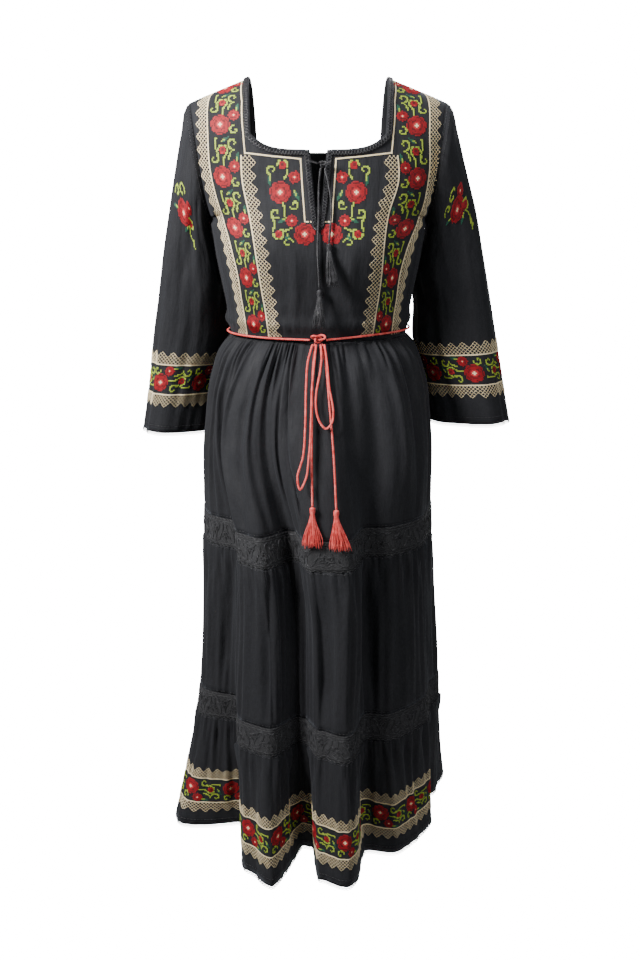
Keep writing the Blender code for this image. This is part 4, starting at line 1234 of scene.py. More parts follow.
def lace_look():
    """Black cotton lace: a fine net ground with denser sprays worked into it."""
    made, tree, shader = material(
        "black_lace_look", LACE_COLOUR, 0.78, 0.06, (0.66, 0.70, 0.80), 0.42
    )
    flat = add_node(tree, "ShaderNodeUVMap", {"uv_map": "cloth"}).outputs[0]
    cells = {"feature": "DISTANCE_TO_EDGE"}
    net = add_node(tree, "ShaderNodeTexVoronoi", cells, Vector=flat, Scale=WEAVE_SCALE)
    sprays = noise(tree, flat, (110.0, 110.0, 1.0))
    holes = ramp(tree, net.outputs["Distance"], 0.02, 0.30)
    normal = bump(tree, sprays, 0.5, 0.0016)
    normal = bump(tree, worked_out(tree, "SUBTRACT", 1.0, holes), 0.8, 0.0007, normal)
    colour = mixed(tree, holes, LACE_PALE, LACE_COLOUR)
    link_all(tree, shader, colour, ramp(tree, sprays, *MID_NOISE, 0.70, 0.90), normal)
    return made


def thread_look(name, colour, pale, roughness, sheen, fibre=2600.0, depth=0.0002):
    """Spun thread: fibres along and across it, and a little unevenness of its dye."""
    made, tree, shader = material(name, colour, roughness, sheen, pale, 0.4)
    where = add_node(tree, "ShaderNodeTexCoord").outputs["Object"]
    fibres = noise(tree, where, fibre, 2.0)
    dyed = mixed(tree, ramp(tree, noise(tree, where, 160.0, 2.0), 0.3, 0.75), colour, pale)
    rough = ramp(tree, fibres, *MID_NOISE, roughness - 0.08, roughness + 0.10)
    link_all(tree, shader, dyed, rough, bump(tree, fibres, 0.5, depth))
    return made


# Cords: the belt, the neck ties, their knots and tassels


def declared_cord(name, points, diameter, look, slot, up, far_end, lay, pieces=()):
    """A twisted cord along its route."""
    threads = Threads()
    path = twisted(threads, points, diameter, up)
    piece(name, threads.mesh(name), [look], [name])


def tied_knot(name, middle, half, diameter, look, slot):
    """An overhand knot pulled tight, inside the room its block has."""
    reach = np.array(half) - diameter * KNOT_ROOM
    t = np.linspace(0.0, 2 * math.pi, 121)
    turns = [
        (np.sin(t) + 2 * np.sin(2 * t)) / 2.7,
        -np.sin(3 * t),
        (np.cos(t) - 2 * np.cos(2 * t)) / 2.9,
    ]
    threads = Threads()
    line = np.array(middle) + reach * np.stack(turns, axis=1)
    twisted(threads, line, diameter, (0.3, 1.0, 0.2), KNOT_STEP)
    piece(name, threads.mesh(name), [look], [name])


def tassel(shape, cord_end, look, rng):
    """A wrapped head and loose strands of yarn that spread and wave below it."""
    threads = Threads()
    head = np.array(cord_end) - (0.0, 0.0, HEAD_HALF_HEIGHT + SEAM_GAP)
    turn = np.linspace(0.0, 2 * math.pi, 14, endpoint=False)
    for wrap in np.linspace(*HEAD_WRAPS):
        radius = HEAD_RADIUS * (0.80 + 0.10 * math.cos(wrap * 2.2))
        height = np.full_like(turn, wrap * HEAD_HALF_HEIGHT)
        ring = np.stack([radius * np.cos(turn), radius * np.sin(turn), height], axis=1)
        threads.add(head + ring, WRAP_RADIUS, (0.0, 0.0, 1.0), closed=True)
    heights, widths = np.transpose(HEAD_PROFILE)
    dome = np.outer(HEAD_HALF_HEIGHT * heights, (0.0, 0.0, 1.0))
    threads.add(head + dome, HEAD_RADIUS * widths, (0.0, 1.0, 0.0), 12)
    levels = np.linspace(0.0, 1.0, STRAND_POINTS)
    width = ROOT_SPREAD + (shape.half_width - ROOT_SPREAD) * smooth(levels)
    depth = ROOT_SPREAD + (shape.half_depth - ROOT_SPREAD) * smooth(levels)
    for i in range(TASSEL_STRANDS):
        out = math.sqrt((i + 0.5) / TASSEL_STRANDS)
        angle = GOLDEN_TURN * i
        length = shape.length * (1 - RAGGED * rng.random() * 2)
        wave = rng.normal(0.0, STRAND_WAVE, 2)
        phase = rng.random(2) * 2 * math.pi
        x = head[0] + out * math.cos(angle) * width + shape.swing * levels**1.5
        x += wave[0] * levels * np.sin(levels * 7 + phase[0])
        y = head[1] + out * math.sin(angle) * depth - TASSEL_LEAN * levels
        y += wave[1] * levels * np.sin(levels * 6 + phase[1])
        z = head[2] - ROOT_DROP - levels * (length - HEAD_HALF_HEIGHT - ROOT_DROP)
        strand = STRAND_RADIUS * (1 - 0.25 * levels**4)
        threads.add(np.stack([x, y, z], axis=1), strand, (0.1, 1.0, 0.0), 4)
    return piece(shape.name, threads.mesh(shape.name), [look], [shape.name])


def belt_ring():
    """Line of the belt round the waist, from one side of its knot to the other."""
    _, x, y = skirt_curve(WAIST, MARKS)
    turn = np.mod(np.arctan2(x, -y) + math.pi, 2 * math.pi)
    order = np.argsort(turn)
    meets = math.asin((BELT_KNOT_HALF[0] + 4 * SEAM_GAP) / -BELT_KNOT[1])
    turns = np.linspace(meets, 2 * math.pi - meets, 4 * BELT_POINTS)
    signed = np.mod(turns + math.pi, 2 * math.pi) - math.pi
    radius = np.interp(signed + math.pi, turn[order], np.hypot(x, y)[order])
    radius += BELT_OUT + BELT_AT_KNOT * np.exp(-((signed / BELT_KNOT_TURN) ** 2))
    height = WAIST + BELT_LIFT + BELT_SIDE_RISE * smooth(np.sin(turns))
    return np.stack([radius * np.sin(turns), -radius * np.cos(turns), height], axis=-1)


def hang(name, turns, spread, out, layer, shape, cord, rng):
    """A cord that hangs in front of the dress, with its tassel if it has one."""
    diameter, look, slot = cord
    points = route(hanging(turns, spread, out, layer), CORD_STEP * diameter)
    run = lengths_of(points)
    line = through(run, points, np.linspace(0.0, run[-1], 8 * len(points)))
    if "yoke" in name:
        threads = Threads()
        twisted(threads, line, diameter, TOWARDS_BACK)
        piece(name, threads.mesh(name), [look], [name])
        return
    ends = [tassel(shape, points[-1], look, rng)] if shape else []
    far_end = "knot" if shape else "object"
    declared_cord(name, line, diameter, look, slot, TOWARDS_BACK, far_end, "hanging", ends)


def add_cords(coral, black):
    """The belt and the neck ties, with their knots and tassels."""
    rng = np.random.default_rng(7)
    belt = (BELT_CORD, coral, "coral_cord")
    tied_knot("belt_knot", BELT_KNOT, BELT_KNOT_HALF, *belt)
    declared_cord("belt_cord", belt_ring(), *belt, (0.0, 0.0, 1.0), "object", "taut")
    near = BELT_CORD / 2 + BELT_OFF_SKIRT
    far = near + BELT_CORD + BELT_BETWEEN_LAYERS
    for name, turns, out, layer, shape in (
        ("belt_loop_right", BELT_LOOP_RIGHT, far, BELT_FRONT_LAYER, None),
        ("belt_loop_left", BELT_LOOP_LEFT, far, BELT_FRONT_LAYER, None),
        ("belt_end_right", BELT_END_RIGHT, near, BELT_BACK_LAYER, BELT_TASSEL_RIGHT),
        ("belt_end_left", BELT_END_LEFT, near, BELT_BACK_LAYER, BELT_TASSEL_LEFT),
    ):
        hang(name, turns, HANG_SPREAD, out, layer, shape, belt, rng)
    tie = (TIE_CORD, black, "black_cord")
    tied_knot("neck_tie_knot", NECK_KNOT, NECK_KNOT_HALF, *tie)
    out = TIE_CORD / 2 + BINDING_CLOTH + BINDING_CLEARANCE + SEAM_GAP
    for name, turns, shape in (
        ("neck_tie_yoke_right", TIE_YOKE_RIGHT, None),
        ("neck_tie_yoke_left", TIE_YOKE_LEFT, None),
        ("neck_tie_right", TIE_RIGHT, NECK_TASSEL_RIGHT),
        ("neck_tie_left", TIE_LEFT, NECK_TASSEL_LEFT),
    ):
        hang(name, turns, TIE_HANG_SPREAD, out, NECK_KNOT[1], shape, tie, rng)


# Skirt cloth


def uneven_wave(places, lowest, highest, count, rng):
    """Smooth uneven values round the skirt, about -1 to 1, that meet where the round closes."""
    total = np.zeros_like(places)
    for turns in np.linspace(lowest, highest, count).astype(int):
        total += np.sin(2 * math.pi * (turns * places + rng.random()))
    return total / math.sqrt(count / 2) / 1.6


def gather_wave(gathers, cloth):
    """The same wave of gathers as the solids have, read at any place."""
    two_pi = 2 * math.pi
    phase = gathers.count * cloth + gathers.uneven * (
        np.sin(two_pi * 5 * cloth)
        + np.sin(two_pi * (11 * cloth + 0.3))
        - math.sin(two_pi * 0.3)
    )
    fullness = 0.75 + 0.25 * np.sin(two_pi * (7 * cloth + 0.15)) * np.sin(two_pi * 3 * cloth)
    return two_pi * phase, fullness


def tier_tube(tier):
    """A tier of the skirt all round, with its gathers, small puckers and long soft creases."""
    rng = np.random.default_rng(tier.seed)
    gathers = tier.gathers
    cloth = np.arange(tier.columns) / tier.columns
    total = gathers.drops[-1]
    share = np.linspace(0.0, 1.0, tier.rows)
    drops = total * (0.45 * share**2 + 0.55 * share)
    phase, fullness = gather_wave(gathers, cloth)
    reach = 1.0 + REACH_UNEVEN * uneven_wave(cloth, gathers.count // 4, gathers.count, 7, rng)
    reach = np.clip(reach, *REACH_LIMITS)
    puckers = uneven_wave(cloth, gathers.count * 2, gathers.count * 4, 9, rng)
    creases = uneven_wave(cloth, gathers.count // 2, gathers.count * 2, 11, rng)
    shifting = uneven_wave(cloth, gathers.count // 2, gathers.count * 2, 11, rng)
    seam = smooth(np.abs(np.mod(cloth + 0.25, 0.5) - 0.25) / SEAM_FADE)
    rows = []
    for drop in drops:
        height = tier.top - drop
        ring = skirt_ring(height, cloth)
        outward = skirt_ring(height, cloth, 1.0) - ring
        down = drop / total
        depth = through(gathers.drops, gathers.depths, np.minimum(drop / reach, total))
        round_crest = 2 * np.sqrt(np.cos(phase / 2) ** 2 + 0.03) - 1.06
        pinch = PINCH_SHARE * (1 - smooth(drop / GATHER_PINCH))
        wave = (1 - pinch) * np.cos(phase) + pinch * round_crest
        rise = depth * wave * fullness
        pucker_fade = smooth(drop / PUCKER_START) * (1 - smooth(drop / PUCKER_REACH))
        rise += PUCKER_RISE * puckers * pucker_fade
        turned = creases * math.cos(CREASE_TURN * down) + shifting * math.sin(CREASE_TURN * down)
        calm = 1 - HEM_CALM * smooth(down) if tier.lifted else 0.55 + 0.45 * down
        rise += tier.crease * turned * smooth(drop / CREASE_START) * calm
        for crease in tier.creases:
            rise += crease_rise(crease, cloth, down)
        if not tier.lifted:
            rise *= smooth((total - drop) / FOOT_FADE)
        if tier.top == WAIST:
            beside = smooth((np.abs(ring[:, 0]) - CORD_ROOM_HALF) / CORD_ROOM_HALF)
            puffed = through(PUFF_DROPS, (0.0, 1.0, 0.0), min(drop, PUFF_DROPS[-1]))
            rise += PUFF_RISE * puffed * beside
        under_cords = (np.abs(ring[:, 0]) < CORD_ROOM_HALF) & (ring[:, 1] < 0)
        rise = np.where(under_cords, np.minimum(rise, CORD_ROOM), rise)
        ring += outward * (rise * seam)[:, None]
        if tier.lifted:
            ring[:, 2] += hem_lift(cloth) * down**2
        rows.append(ring)
    return Tube(np.array(rows))


def crease_rise(crease, cloth, down):
    """Rise of one soft crease that runs down a tier, fading at both of its ends."""
    along = (down - crease.start) / (crease.end - crease.start)
    middle = crease.cloth_top + (crease.cloth_foot - crease.cloth_top) * along
    fade = smooth(along * 3) * smooth((1 - along) * 3)
    off = np.mod(cloth - middle + 0.5, 1.0) - 0.5
    return crease.rise * fade * np.exp(-((off / crease.spread) ** 2))


def add_skirt(cotton, lace, thread):
    """The tiers of the skirt and the lace between them, and the cloth they are made of."""
    tubes = {}
    for tier in TIERS:
        tube = tubes[tier.name] = tier_tube(tier)
        half = tier.columns // 2
        for part, start, stop in (("front", 0, half), ("back", half, tier.columns)):
            name = f"{tier.name}_{part}"
            mesh = tube.mesh(name, start, stop)
            obj = piece(name, mesh, [cotton], [name], CLOTH_SHOWN)
    for name, top, above, sprays in LACE_BANDS:
        tubes[name] = lace_band(name, top, sprays, lace, thread)
    return tubes


def lace_band(name, top, sprays, lace, thread):
    """An insertion of lace: a net ground, worked edges, wavy cords and small sprays of petals."""
    cloth = np.arange(LACE_COLUMNS) / LACE_COLUMNS
    rng = np.random.default_rng(31)
    rows = []
    for height in np.linspace(top, top - LACE_WIDTH, LACE_ROWS):
        ring = skirt_ring(height, cloth)
        outward = skirt_ring(height, cloth, 1.0) - ring
        rise = LACE_RISE + LACE_UNEVEN * uneven_wave(cloth, 30, 70, 7, rng)
        rows.append(ring + outward * rise[:, None])
    tube = Tube(np.array(rows))
    obj = piece(name, tube.mesh(name), [lace], [name], LACE_SHOWN)
    threads = Threads()
    metres = tube.around[-1]
    per_metre = LACE_COLUMNS / metres

    def work(distance, column, lift, radius, sides, closed=False):
        """A thread over the lace, by its distance below the top edge and its column."""
        line, normal = tube.at(distance / LACE_WIDTH * (LACE_ROWS - 1), column)
        threads.add(line + lift * normal, radius, normal, sides, closed)

    at = np.linspace(0.0, LACE_COLUMNS, 2 * LACE_COLUMNS, endpoint=False)
    for distance, swing, wavelength in LACE_CORDS:
        wave = np.sin(2 * math.pi * round(metres / wavelength) * at / LACE_COLUMNS)
        work(distance + swing * wave, at, 0.0005, LACE_THREAD, 3, True)
    turn = np.linspace(0.0, 2 * math.pi, 26, endpoint=False)
    t = np.linspace(0.0, 1.0, 9)
    for i in range(sprays):
        middle = (i + 0.5) / sprays * LACE_COLUMNS
        lower = (-1) ** i
        for size, petals, radius in LACE_FLOWERS:
            out = size * (0.74 + 0.26 * np.cos(petals * turn + i))
            distance = LACE_WIDTH / 2 + lower * 0.004 + out * np.sin(turn)
            work(distance, middle + out * np.cos(turn) * per_metre, 0.0009, radius, 4, True)
        for side in (-1, 1):
            distance = LACE_WIDTH / 2 - lower * (0.003 + 0.013 * np.sin(4.2 * t))
            curl = side * (0.010 + 0.006 * np.cos(5.2 * t)) * per_metre
            work(distance, middle + curl, 0.0008, LACE_THREAD, 4)
    worked = piece(name + "_sprays", threads.mesh(name + "_sprays"), [thread])
    return tube


# Bodice cloth


def bodice_creases(x, height, side):
    """Rise of the small creases of the bodice outside the solids' form."""
    rise = np.zeros_like(x)
    for crease in BODICE_CREASES:
        if crease.side != side:
            continue
        ends = np.array([crease.x_top, crease.z_top]), np.array([crease.x_foot, crease.z_foot])
        run = ends[1] - ends[0]
        length = np.linalg.norm(run)
        along = ((x - ends[0][0]) * run[0] + (height - ends[0][1]) * run[1]) / length**2
        off = ((x - ends[0][0]) * run[1] - (height - ends[0][1]) * run[0]) / length
        fade = smooth(along * 3) * smooth((1 - along) * 3)
        rise = rise + crease.rise * fade * np.exp(-((off / crease.spread) ** 2))
    return rise


def fine_rows(side, hand):
    """Rows of one half of a bodice panel with its creases, fading out at its seams."""
    rows = []
    for row in bodice_rows(side, hand):
        count = len(row)
        fade = smooth((count - 1 - np.arange(count)) / 6.0)
        row = row.copy()
        row[:, 1] += side * fade * bodice_creases(row[:, 0], row[:, 2], side)
        row[:, :2] *= 1 + blouse(row)[:, None] / np.hypot(row[:, 0], row[:, 1])[:, None]
        rows.append(row)
    return rows


def blouse(row):
    """How far the cloth puffs out where it is drawn in just above the belt."""
    turn = np.arctan2(row[:, 0], -row[:, 1]) / (2 * math.pi)
    puffs = uneven_wave(turn, 24, 60, 7, np.random.default_rng(21))
    rise = BLOUSE_RISE * np.exp(-(((row[:, 2] - BLOUSE_HEIGHT) / BLOUSE_SPREAD) ** 2))
    return rise * (0.85 + 0.30 * puffs)


def bodice_sheet(name, side, cotton):
    """Front or back of the bodice, its two halves joined where the cloth runs on."""
    points, uvs, faces = [], [], []
    centres = {}
    for hand in (-1, 1):
        numbers = []
        for level, row in enumerate(fine_rows(side, hand)):
            run = lengths_of(row)
            number = list(range(len(points), len(points) + len(row)))
            starts_at_centre = len(row) == SIDE_STEPS + MIDDLE_STEPS + 1
            joined = starts_at_centre and (side > 0 or level <= LOWER_STEPS)
            if joined and hand > 0:
                number = [centres[level]] + list(range(len(points), len(points) + len(row) - 1))
                kept = slice(1, None)
            else:
                kept = slice(None)
            if joined and hand < 0:
                centres[level] = number[0]
            offset = 0.0 if starts_at_centre else abs(row[0, 0])
            points.extend(row[kept])
            uvs.extend((hand * (offset + r), z) for r, z in zip(run[kept], row[kept, 2]))
            numbers.append(number)
        flip = hand * side > 0
        for low, high in zip(numbers, numbers[1:]):
            shared = min(len(low), len(high))
            low, high = low[-shared:], high[-shared:]
            for i in range(shared - 1):
                corners = [low[i], low[i + 1], high[i + 1], high[i]]
                faces.append(corners[::-1] if flip else corners)
    points = np.array(points)
    uvs = np.array(uvs)
    faces = np.array(faces)
    mesh = mesh_of(name, points, faces)
    add_uv(mesh, uvs[faces])
    tree = BVHTree.FromPolygons(points.tolist(), faces.tolist())
    obj = piece(name, mesh, [cotton], [name], CLOTH_SHOWN)
    return obj, tree


def on_cloth(tree, points):
    """Nearest places on a panel and the directions out of it there."""
    places, normals = [], []
    for point in np.asarray(points, float).reshape(-1, 3):
        place, normal, _, _ = tree.find_nearest(Vector(point))
        places.append(place)
        normals.append(normal)
    shape = np.shape(points)
    return np.array(places).reshape(shape), np.array(normals).reshape(shape)


def seen_from_front(tree, x, z):
    """Places on the front panel behind x and z, the directions out of it, and which are on it."""
    places, normals, found = [], [], []
    for at_x, at_z in zip(x.ravel(), z.ravel()):
        start = Vector((at_x, FRONT_OF_ALL, at_z))
        place, normal, _, _ = tree.ray_cast(start, Vector(TOWARDS_BACK))
        seen = place is not None and place.y < FRONT_DEPTH
        places.append(place if seen else Vector((at_x, 0.0, at_z)))
        normals.append(normal if seen else -Vector(TOWARDS_BACK))
        found.append(seen)
    shape = (*x.shape, 3)
    found = np.array(found).reshape(x.shape)
    return np.array(places).reshape(shape), np.array(normals).reshape(shape), found


def front_depth(x, z):
    """Y of the front of the bodice at one place."""
    return float(bodice_depth(np.array(x), np.array(z), -1))


# Embroidery


def blank(length, width):
    """A chart with no stitches yet."""
    return np.full((length, width), BARE, int)


def mark(cells, along, across, colour, size):
    """Colours the cells near a place; the chart runs on from its end to its start."""
    length, width = cells.shape
    for b in range(int(math.floor(along - size)), int(math.ceil(along + size)) + 1):
        for a in range(int(math.floor(across - size)), int(math.ceil(across + size)) + 1):
            near = (a - across) ** 2 + (b - along) ** 2 <= size * size
            if near and 0 <= a < width:
                cells[b % length, a] = colour


def mark_off(cells, along, across, far, angle, colour, size):
    """Marks a place some way off another one, in the direction of an angle."""
    mark(cells, along + far * math.sin(angle), across + far * math.cos(angle), colour, size)


def stamp_rose(cells, across, along, size, turn):
    """A round flower: a scalloped edge, petals parted by broken dark rings, a pale heart."""
    reach = int(size) + 1
    rings = ((0.42, 0.56), (0.72, 0.84)) if size > SMALL_ROSE else ((0.42, 0.70),)
    for b in range(-reach, reach + 1):
        for a in range(-reach, reach + 1):
            share = math.hypot(a, b) / size
            angle = math.atan2(b, a) + turn
            if share > 0.99 + 0.045 * math.cos(8 * angle):
                continue
            in_ring = any(low < share < high for low, high in rings)
            colour = RED
            if share < 0.17:
                colour = CREAM
            elif in_ring and math.sin(3.5 * angle + share * 8) > -0.35:
                colour = DARK_RED
            elif share < 0.32:
                colour = PINK
            place = int(round(across)) + a
            if 0 <= place < cells.shape[1]:
                cells[(int(round(along)) + b) % cells.shape[0], place] = colour


def stamp_bud(cells, across, along, size, turn):
    """A closed bud in its green cup."""
    for t in np.linspace(0.0, 1.0, 9):
        for side in (-1, 1):
            angle = turn + side * (0.4 + 1.3 * t)
            mark_off(cells, along, across, size * 1.3, angle, LIME, 0.6)
    mark(cells, along, across, RED, size)
    mark_off(cells, along, across, 0.3 * size, turn, DARK_RED, 0.4 * size)
    mark_off(cells, along, across, -0.6 * size, turn, PINK, 0.55)


def stamp_curl(cells, across, along, size, turn):
    """A tendril that winds in on itself; a negative size winds the other way."""
    spin = math.copysign(1.0, size)
    for t in np.linspace(0.0, 1.0, 60):
        radius = abs(size) * (1.15 - 0.85 * t)
        mark_off(cells, along, across, radius, turn + spin * 5.2 * t, LIME, GREEN_MARK)


def stamp_leaf(cells, across, along, size, turn):
    """A pointed dark leaf with a light vein."""
    for t in np.linspace(-1.0, 1.0, 20):
        width = size * 0.42 * (1 - t * t)
        mark_off(cells, along, across, size * t, turn, TEAL, max(width, 0.5))
    for t in np.linspace(-1.0, 0.7, 14):
        mark_off(cells, along, across, size * t, turn, LIME if t < 0.1 else TEAL, 0.5)


def stamp_stem(cells, across, along, size, turn):
    """A bowed stem."""
    for t in np.linspace(-1.0, 1.0, 30):
        bow = 0.28 * size * math.cos(t * 1.6)
        x = across + size * t * math.cos(turn) - bow * math.sin(turn)
        y = along + size * t * math.sin(turn) + bow * math.cos(turn)
        mark(cells, y, x, LIME, GREEN_MARK)


STAMPS = {
    "rose": stamp_rose,
    "bud": stamp_bud,
    "curl": stamp_curl,
    "leaf": stamp_leaf,
    "stem": stamp_stem,
}


def stamp_all(cells, motifs, shift=0, mirror=False):
    """Stamps a table of motifs, greens first so that the flowers lie over them."""
    for motif in sorted(motifs, key=lambda m: m.kind in ("rose", "bud")):
        place, size, turn = motif.across, motif.size, math.radians(motif.turn)
        if mirror:
            place = cells.shape[1] - 1 - place
            turn = math.pi - turn
            size = -size if motif.kind == "curl" else size
        STAMPS[motif.kind](cells, place, motif.along + shift, size, turn)


def floral(length, shift):
    """A band of roses, buds, leaves and tendrils, that starts a little into its repeat."""
    repeats = math.ceil((length + REPEAT) / REPEAT)
    cells = blank(repeats * REPEAT, FLORAL_CELLS)
    for i in range(repeats):
        stamp_all(cells, FLORAL, i * REPEAT)
    return cells[shift : shift + length]


def border(length):
    """A lattice border with teeth on its far side."""
    b = np.arange(length)[:, None]
    a = np.arange(BORDER_CELLS)[None, :]
    along = np.mod(b, TOOTH_CELLS)
    root = BORDER_CELLS // 2
    filled = (a <= root + along) & (a <= root + TOOTH_CELLS - along)
    falling = (a + b + 1) % LATTICE_PITCH == 0
    rising = (a - b + 1) % LATTICE_PITCH == 0
    cells = np.select([falling & rising, falling, rising], [CROSSED, FALLING, RISING], BARE)
    return np.where(filled, cells, BARE)


def mirrored(cells):
    """A border turned over, its slanted threads with it."""
    cells = cells[:, ::-1]
    return np.select([cells == RISING, cells == FALLING], [FALLING, RISING], cells)


def stitch_groups(places, normals, cells):
    """The stitches of a chart laid on the cloth: whole crosses, and slanted bars of the borders."""
    across = np.gradient(places, axis=1)
    along = np.gradient(places, axis=0)
    chosen = (cells >= 0) & (cells < RISING)
    groups = [(places[chosen], across[chosen], along[chosen], normals[chosen], cells[chosen])]
    for kind, slant in ((RISING, 1), (FALLING, -1)):
        chosen = (cells == kind) | (cells == CROSSED)
        a, b = across[chosen], slant * along[chosen]
        cream = np.full(len(a), CREAM)
        groups.append((places[chosen], a + b, (a - b) * LATTICE_THREAD, normals[chosen], cream))
    return [group for group in groups if len(group[0])]


def stitch_piece(name, groups, looks):
    """One piece of cross stitches: each is a little cushion with its two crossed threads raised."""
    place, across, along, out, colour = (np.concatenate(parts) for parts in zip(*groups))
    count = len(place)
    rng = np.random.default_rng(count)
    rise = STITCH_RISE * (0.88 + 0.24 * rng.random((count, 1)))
    corners = [
        place + STITCH * (a * across + b * along) + out * (rise * share + STITCH_RISE * sunk)
        for a, b, share, sunk in STITCH_CORNERS
    ]
    rim = np.array([0, 4, 1, 5, 2, 6, 3, 7])
    fan = np.stack([np.full(8, 8), rim, np.roll(rim, -1)], axis=1)
    turned = (np.cross(across, along) * out).sum(axis=1) < 0
    faces = (fan[None] + len(corners) * np.arange(count)[:, None, None]).astype(np.int32)
    faces[turned] = faces[turned][:, :, ::-1]
    mesh = mesh_of(name, np.stack(corners, axis=1).reshape(-1, 3), faces.reshape(-1, 3))
    piece(name, mesh, looks)
    mesh.polygons.foreach_set("material_index", np.repeat(colour, 8).astype(np.int32))


def line_of_stitches(tree, path):
    """A cream line of stitches along a path on a panel."""
    places, normals = on_cloth(tree, even(path, CELL))
    along = np.gradient(places, axis=0)
    across = unit(np.cross(along, normals)) * LINE_WIDTH
    return places, across, along, normals, np.full(len(places), CREAM)


def arc_table(height):
    """Sideways places on the front at a height and the distance round to each from the centre."""
    x = np.linspace(0.0, ARC_REACH, 200)
    y = bodice_depth(x, np.full_like(x, height), -1)
    return x, np.concatenate([[0.0], np.cumsum(np.hypot(np.diff(x), np.diff(y)))])


def bodice_lattice(tree, lines, hand, first, last):
    """Lattice of cells on the front between two measured lines, some cells past each of them.

    Cell columns count from the inner line at 0 to the outer line at FLORAL_CELLS. It gives places,
    directions out, which of them are on the cloth, and the height of each row.
    """
    heights = np.linspace(STRIP_TOP, STRIP_FOOT, 200)
    levels = [-line.height for line in lines]
    inner = through(levels, [line.inner for line in lines], -heights)
    outer = through(levels, [line.outer for line in lines], -heights)
    middle = []
    for height, arc in zip(heights, (inner + outer) / 2):
        x, run = arc_table(height)
        x = float(np.interp(arc, run, x))
        middle.append((x, front_depth(x, height), height))
    run = lengths_of(np.array(middle))
    at = np.interp((np.arange(int(run[-1] / CELL)) + 0.5) * CELL, run, heights)
    columns = np.arange(first, last) + 0.5
    within = np.clip(columns / FLORAL_CELLS, 0.0, 1.0)
    past = np.minimum(columns, 0.0) * CELL + np.maximum(columns - FLORAL_CELLS, 0.0) * CELL
    across = []
    for height in at:
        x, run = arc_table(height)
        start, end = (float(np.interp(-height, -heights, edge)) for edge in (inner, outer))
        across.append(hand * np.interp(start + (end - start) * within + past, run, x))
    across = np.array(across)
    return *seen_from_front(tree, across, np.broadcast_to(at[:, None], across.shape)), at


def embroider_bodice(tree, looks):
    """A strip of flowers down each side of the front, between a border and a shorter one."""
    middle = BORDER_CELLS + 1
    past = middle + FLORAL_CELLS
    for name, hand, lines in (("right", -1, RIGHT_LINES), ("left", 1, LEFT_LINES)):
        places, normals, found, heights = bodice_lattice(tree, lines, hand, -middle, past)
        length = len(heights)
        edge = border(length)
        cells = blank(length, middle + past)
        cells[:, middle:past] = floral(length, FLORAL_SHIFT)[::-1, ::-1]
        cells[:, past] = CREAM
        cells[:, past + 1 :] = edge
        below = heights < BORDER_TOP
        cells[below, : middle - 1] = mirrored(edge)[below]
        cells[below, middle - 1] = CREAM
        cells[~found] = BARE
        stitch_piece(f"embroidery_strip_{name}", stitch_groups(places, normals, cells), looks)


def embroider_yoke(tree, looks):
    """The flowers beside the slit and the cream lines that frame it and the neck."""
    groups = []
    width, length = YOKE_CELLS
    for hand in (-1, 1):
        x = hand * (np.arange(width) + 0.5) * CELL
        z = YOKE_TOP - (np.arange(length) + 0.5) * CELL
        places, normals, found = seen_from_front(tree, *np.meshgrid(x, z))
        cells = blank(length, width)
        stamp_all(cells, YOKE)
        cells[~found] = BARE
        groups += stitch_groups(places, normals, cells)
        for points in NECK_LINES:
            path = [(hand * x, front_depth(x, z), z) for x, z in points]
            groups.append(line_of_stitches(tree, path))
    depth = [(x, front_depth(abs(x), SLIT_LINE)) for x in np.linspace(*SLIT_LINE_SPAN)]
    line = line_of_stitches(tree, [(x, y, SLIT_LINE) for x, y in depth])
    dashes = np.arange(len(line[0])) % 3 != 2
    groups.append([part[dashes] for part in line])
    stitch_piece("embroidery_yoke", groups, looks)


def embroider_ring(name, tube, foot, stop, looks, shift=0, cell=CELL, flip=False):
    """A band of flowers between two borders, from a tube's first column on or all round it."""
    columns = tube.points.shape[1]
    numbers = np.arange(columns + 1)
    metres = np.interp(stop, numbers, tube.around)
    length = int(round(metres / cell))
    if stop == columns:
        whole = math.lcm(REPEAT, TOOTH_CELLS)
        length = whole * max(round(metres / (whole * cell)), 1)
    first = BORDER_CELLS + 1
    past = first + FLORAL_CELLS
    at = np.interp((np.arange(length) + 0.5) / length * metres, tube.around, numbers)
    row = tube.row_above_foot(foot + (np.arange(past + first) + 0.5) * cell)
    column, row = np.meshgrid(at, row, indexing="ij")
    places, normals = tube.at(row, column)
    edge = border(length)
    flowers = floral(length, shift)
    cells = blank(length, past + first)
    cells[:, :BORDER_CELLS] = mirrored(edge)
    cells[:, first:past] = flowers[:, ::-1] if flip else flowers
    cells[:, (BORDER_CELLS, past)] = CREAM
    cells[:, past + 1 :] = edge
    stitch_piece(name, stitch_groups(places, normals, cells), looks)


def embroider_sleeve(name, tube, spot, mirror, looks):
    """The single spray on an upper sleeve; spot is its row and column on the sleeve."""
    numbers = np.arange(len(tube.down))
    cells_off = (np.arange(SPRAY_CELLS) - SPRAY_CELLS / 2 + 0.5) * CELL
    across = cells_off / (tube.around[-1] / tube.points.shape[1])
    down = np.interp(spot[0], numbers, tube.down) + cells_off
    row = np.interp(down, tube.down, numbers)
    row, column = np.meshgrid(row, spot[1] + across, indexing="ij")
    places, normals = tube.at(row, column)
    cells = blank(SPRAY_CELLS, SPRAY_CELLS)
    stamp_all(cells, SPRAY, mirror=mirror)
    stitch_piece(name, stitch_groups(places, normals, cells), looks)


# Sleeves


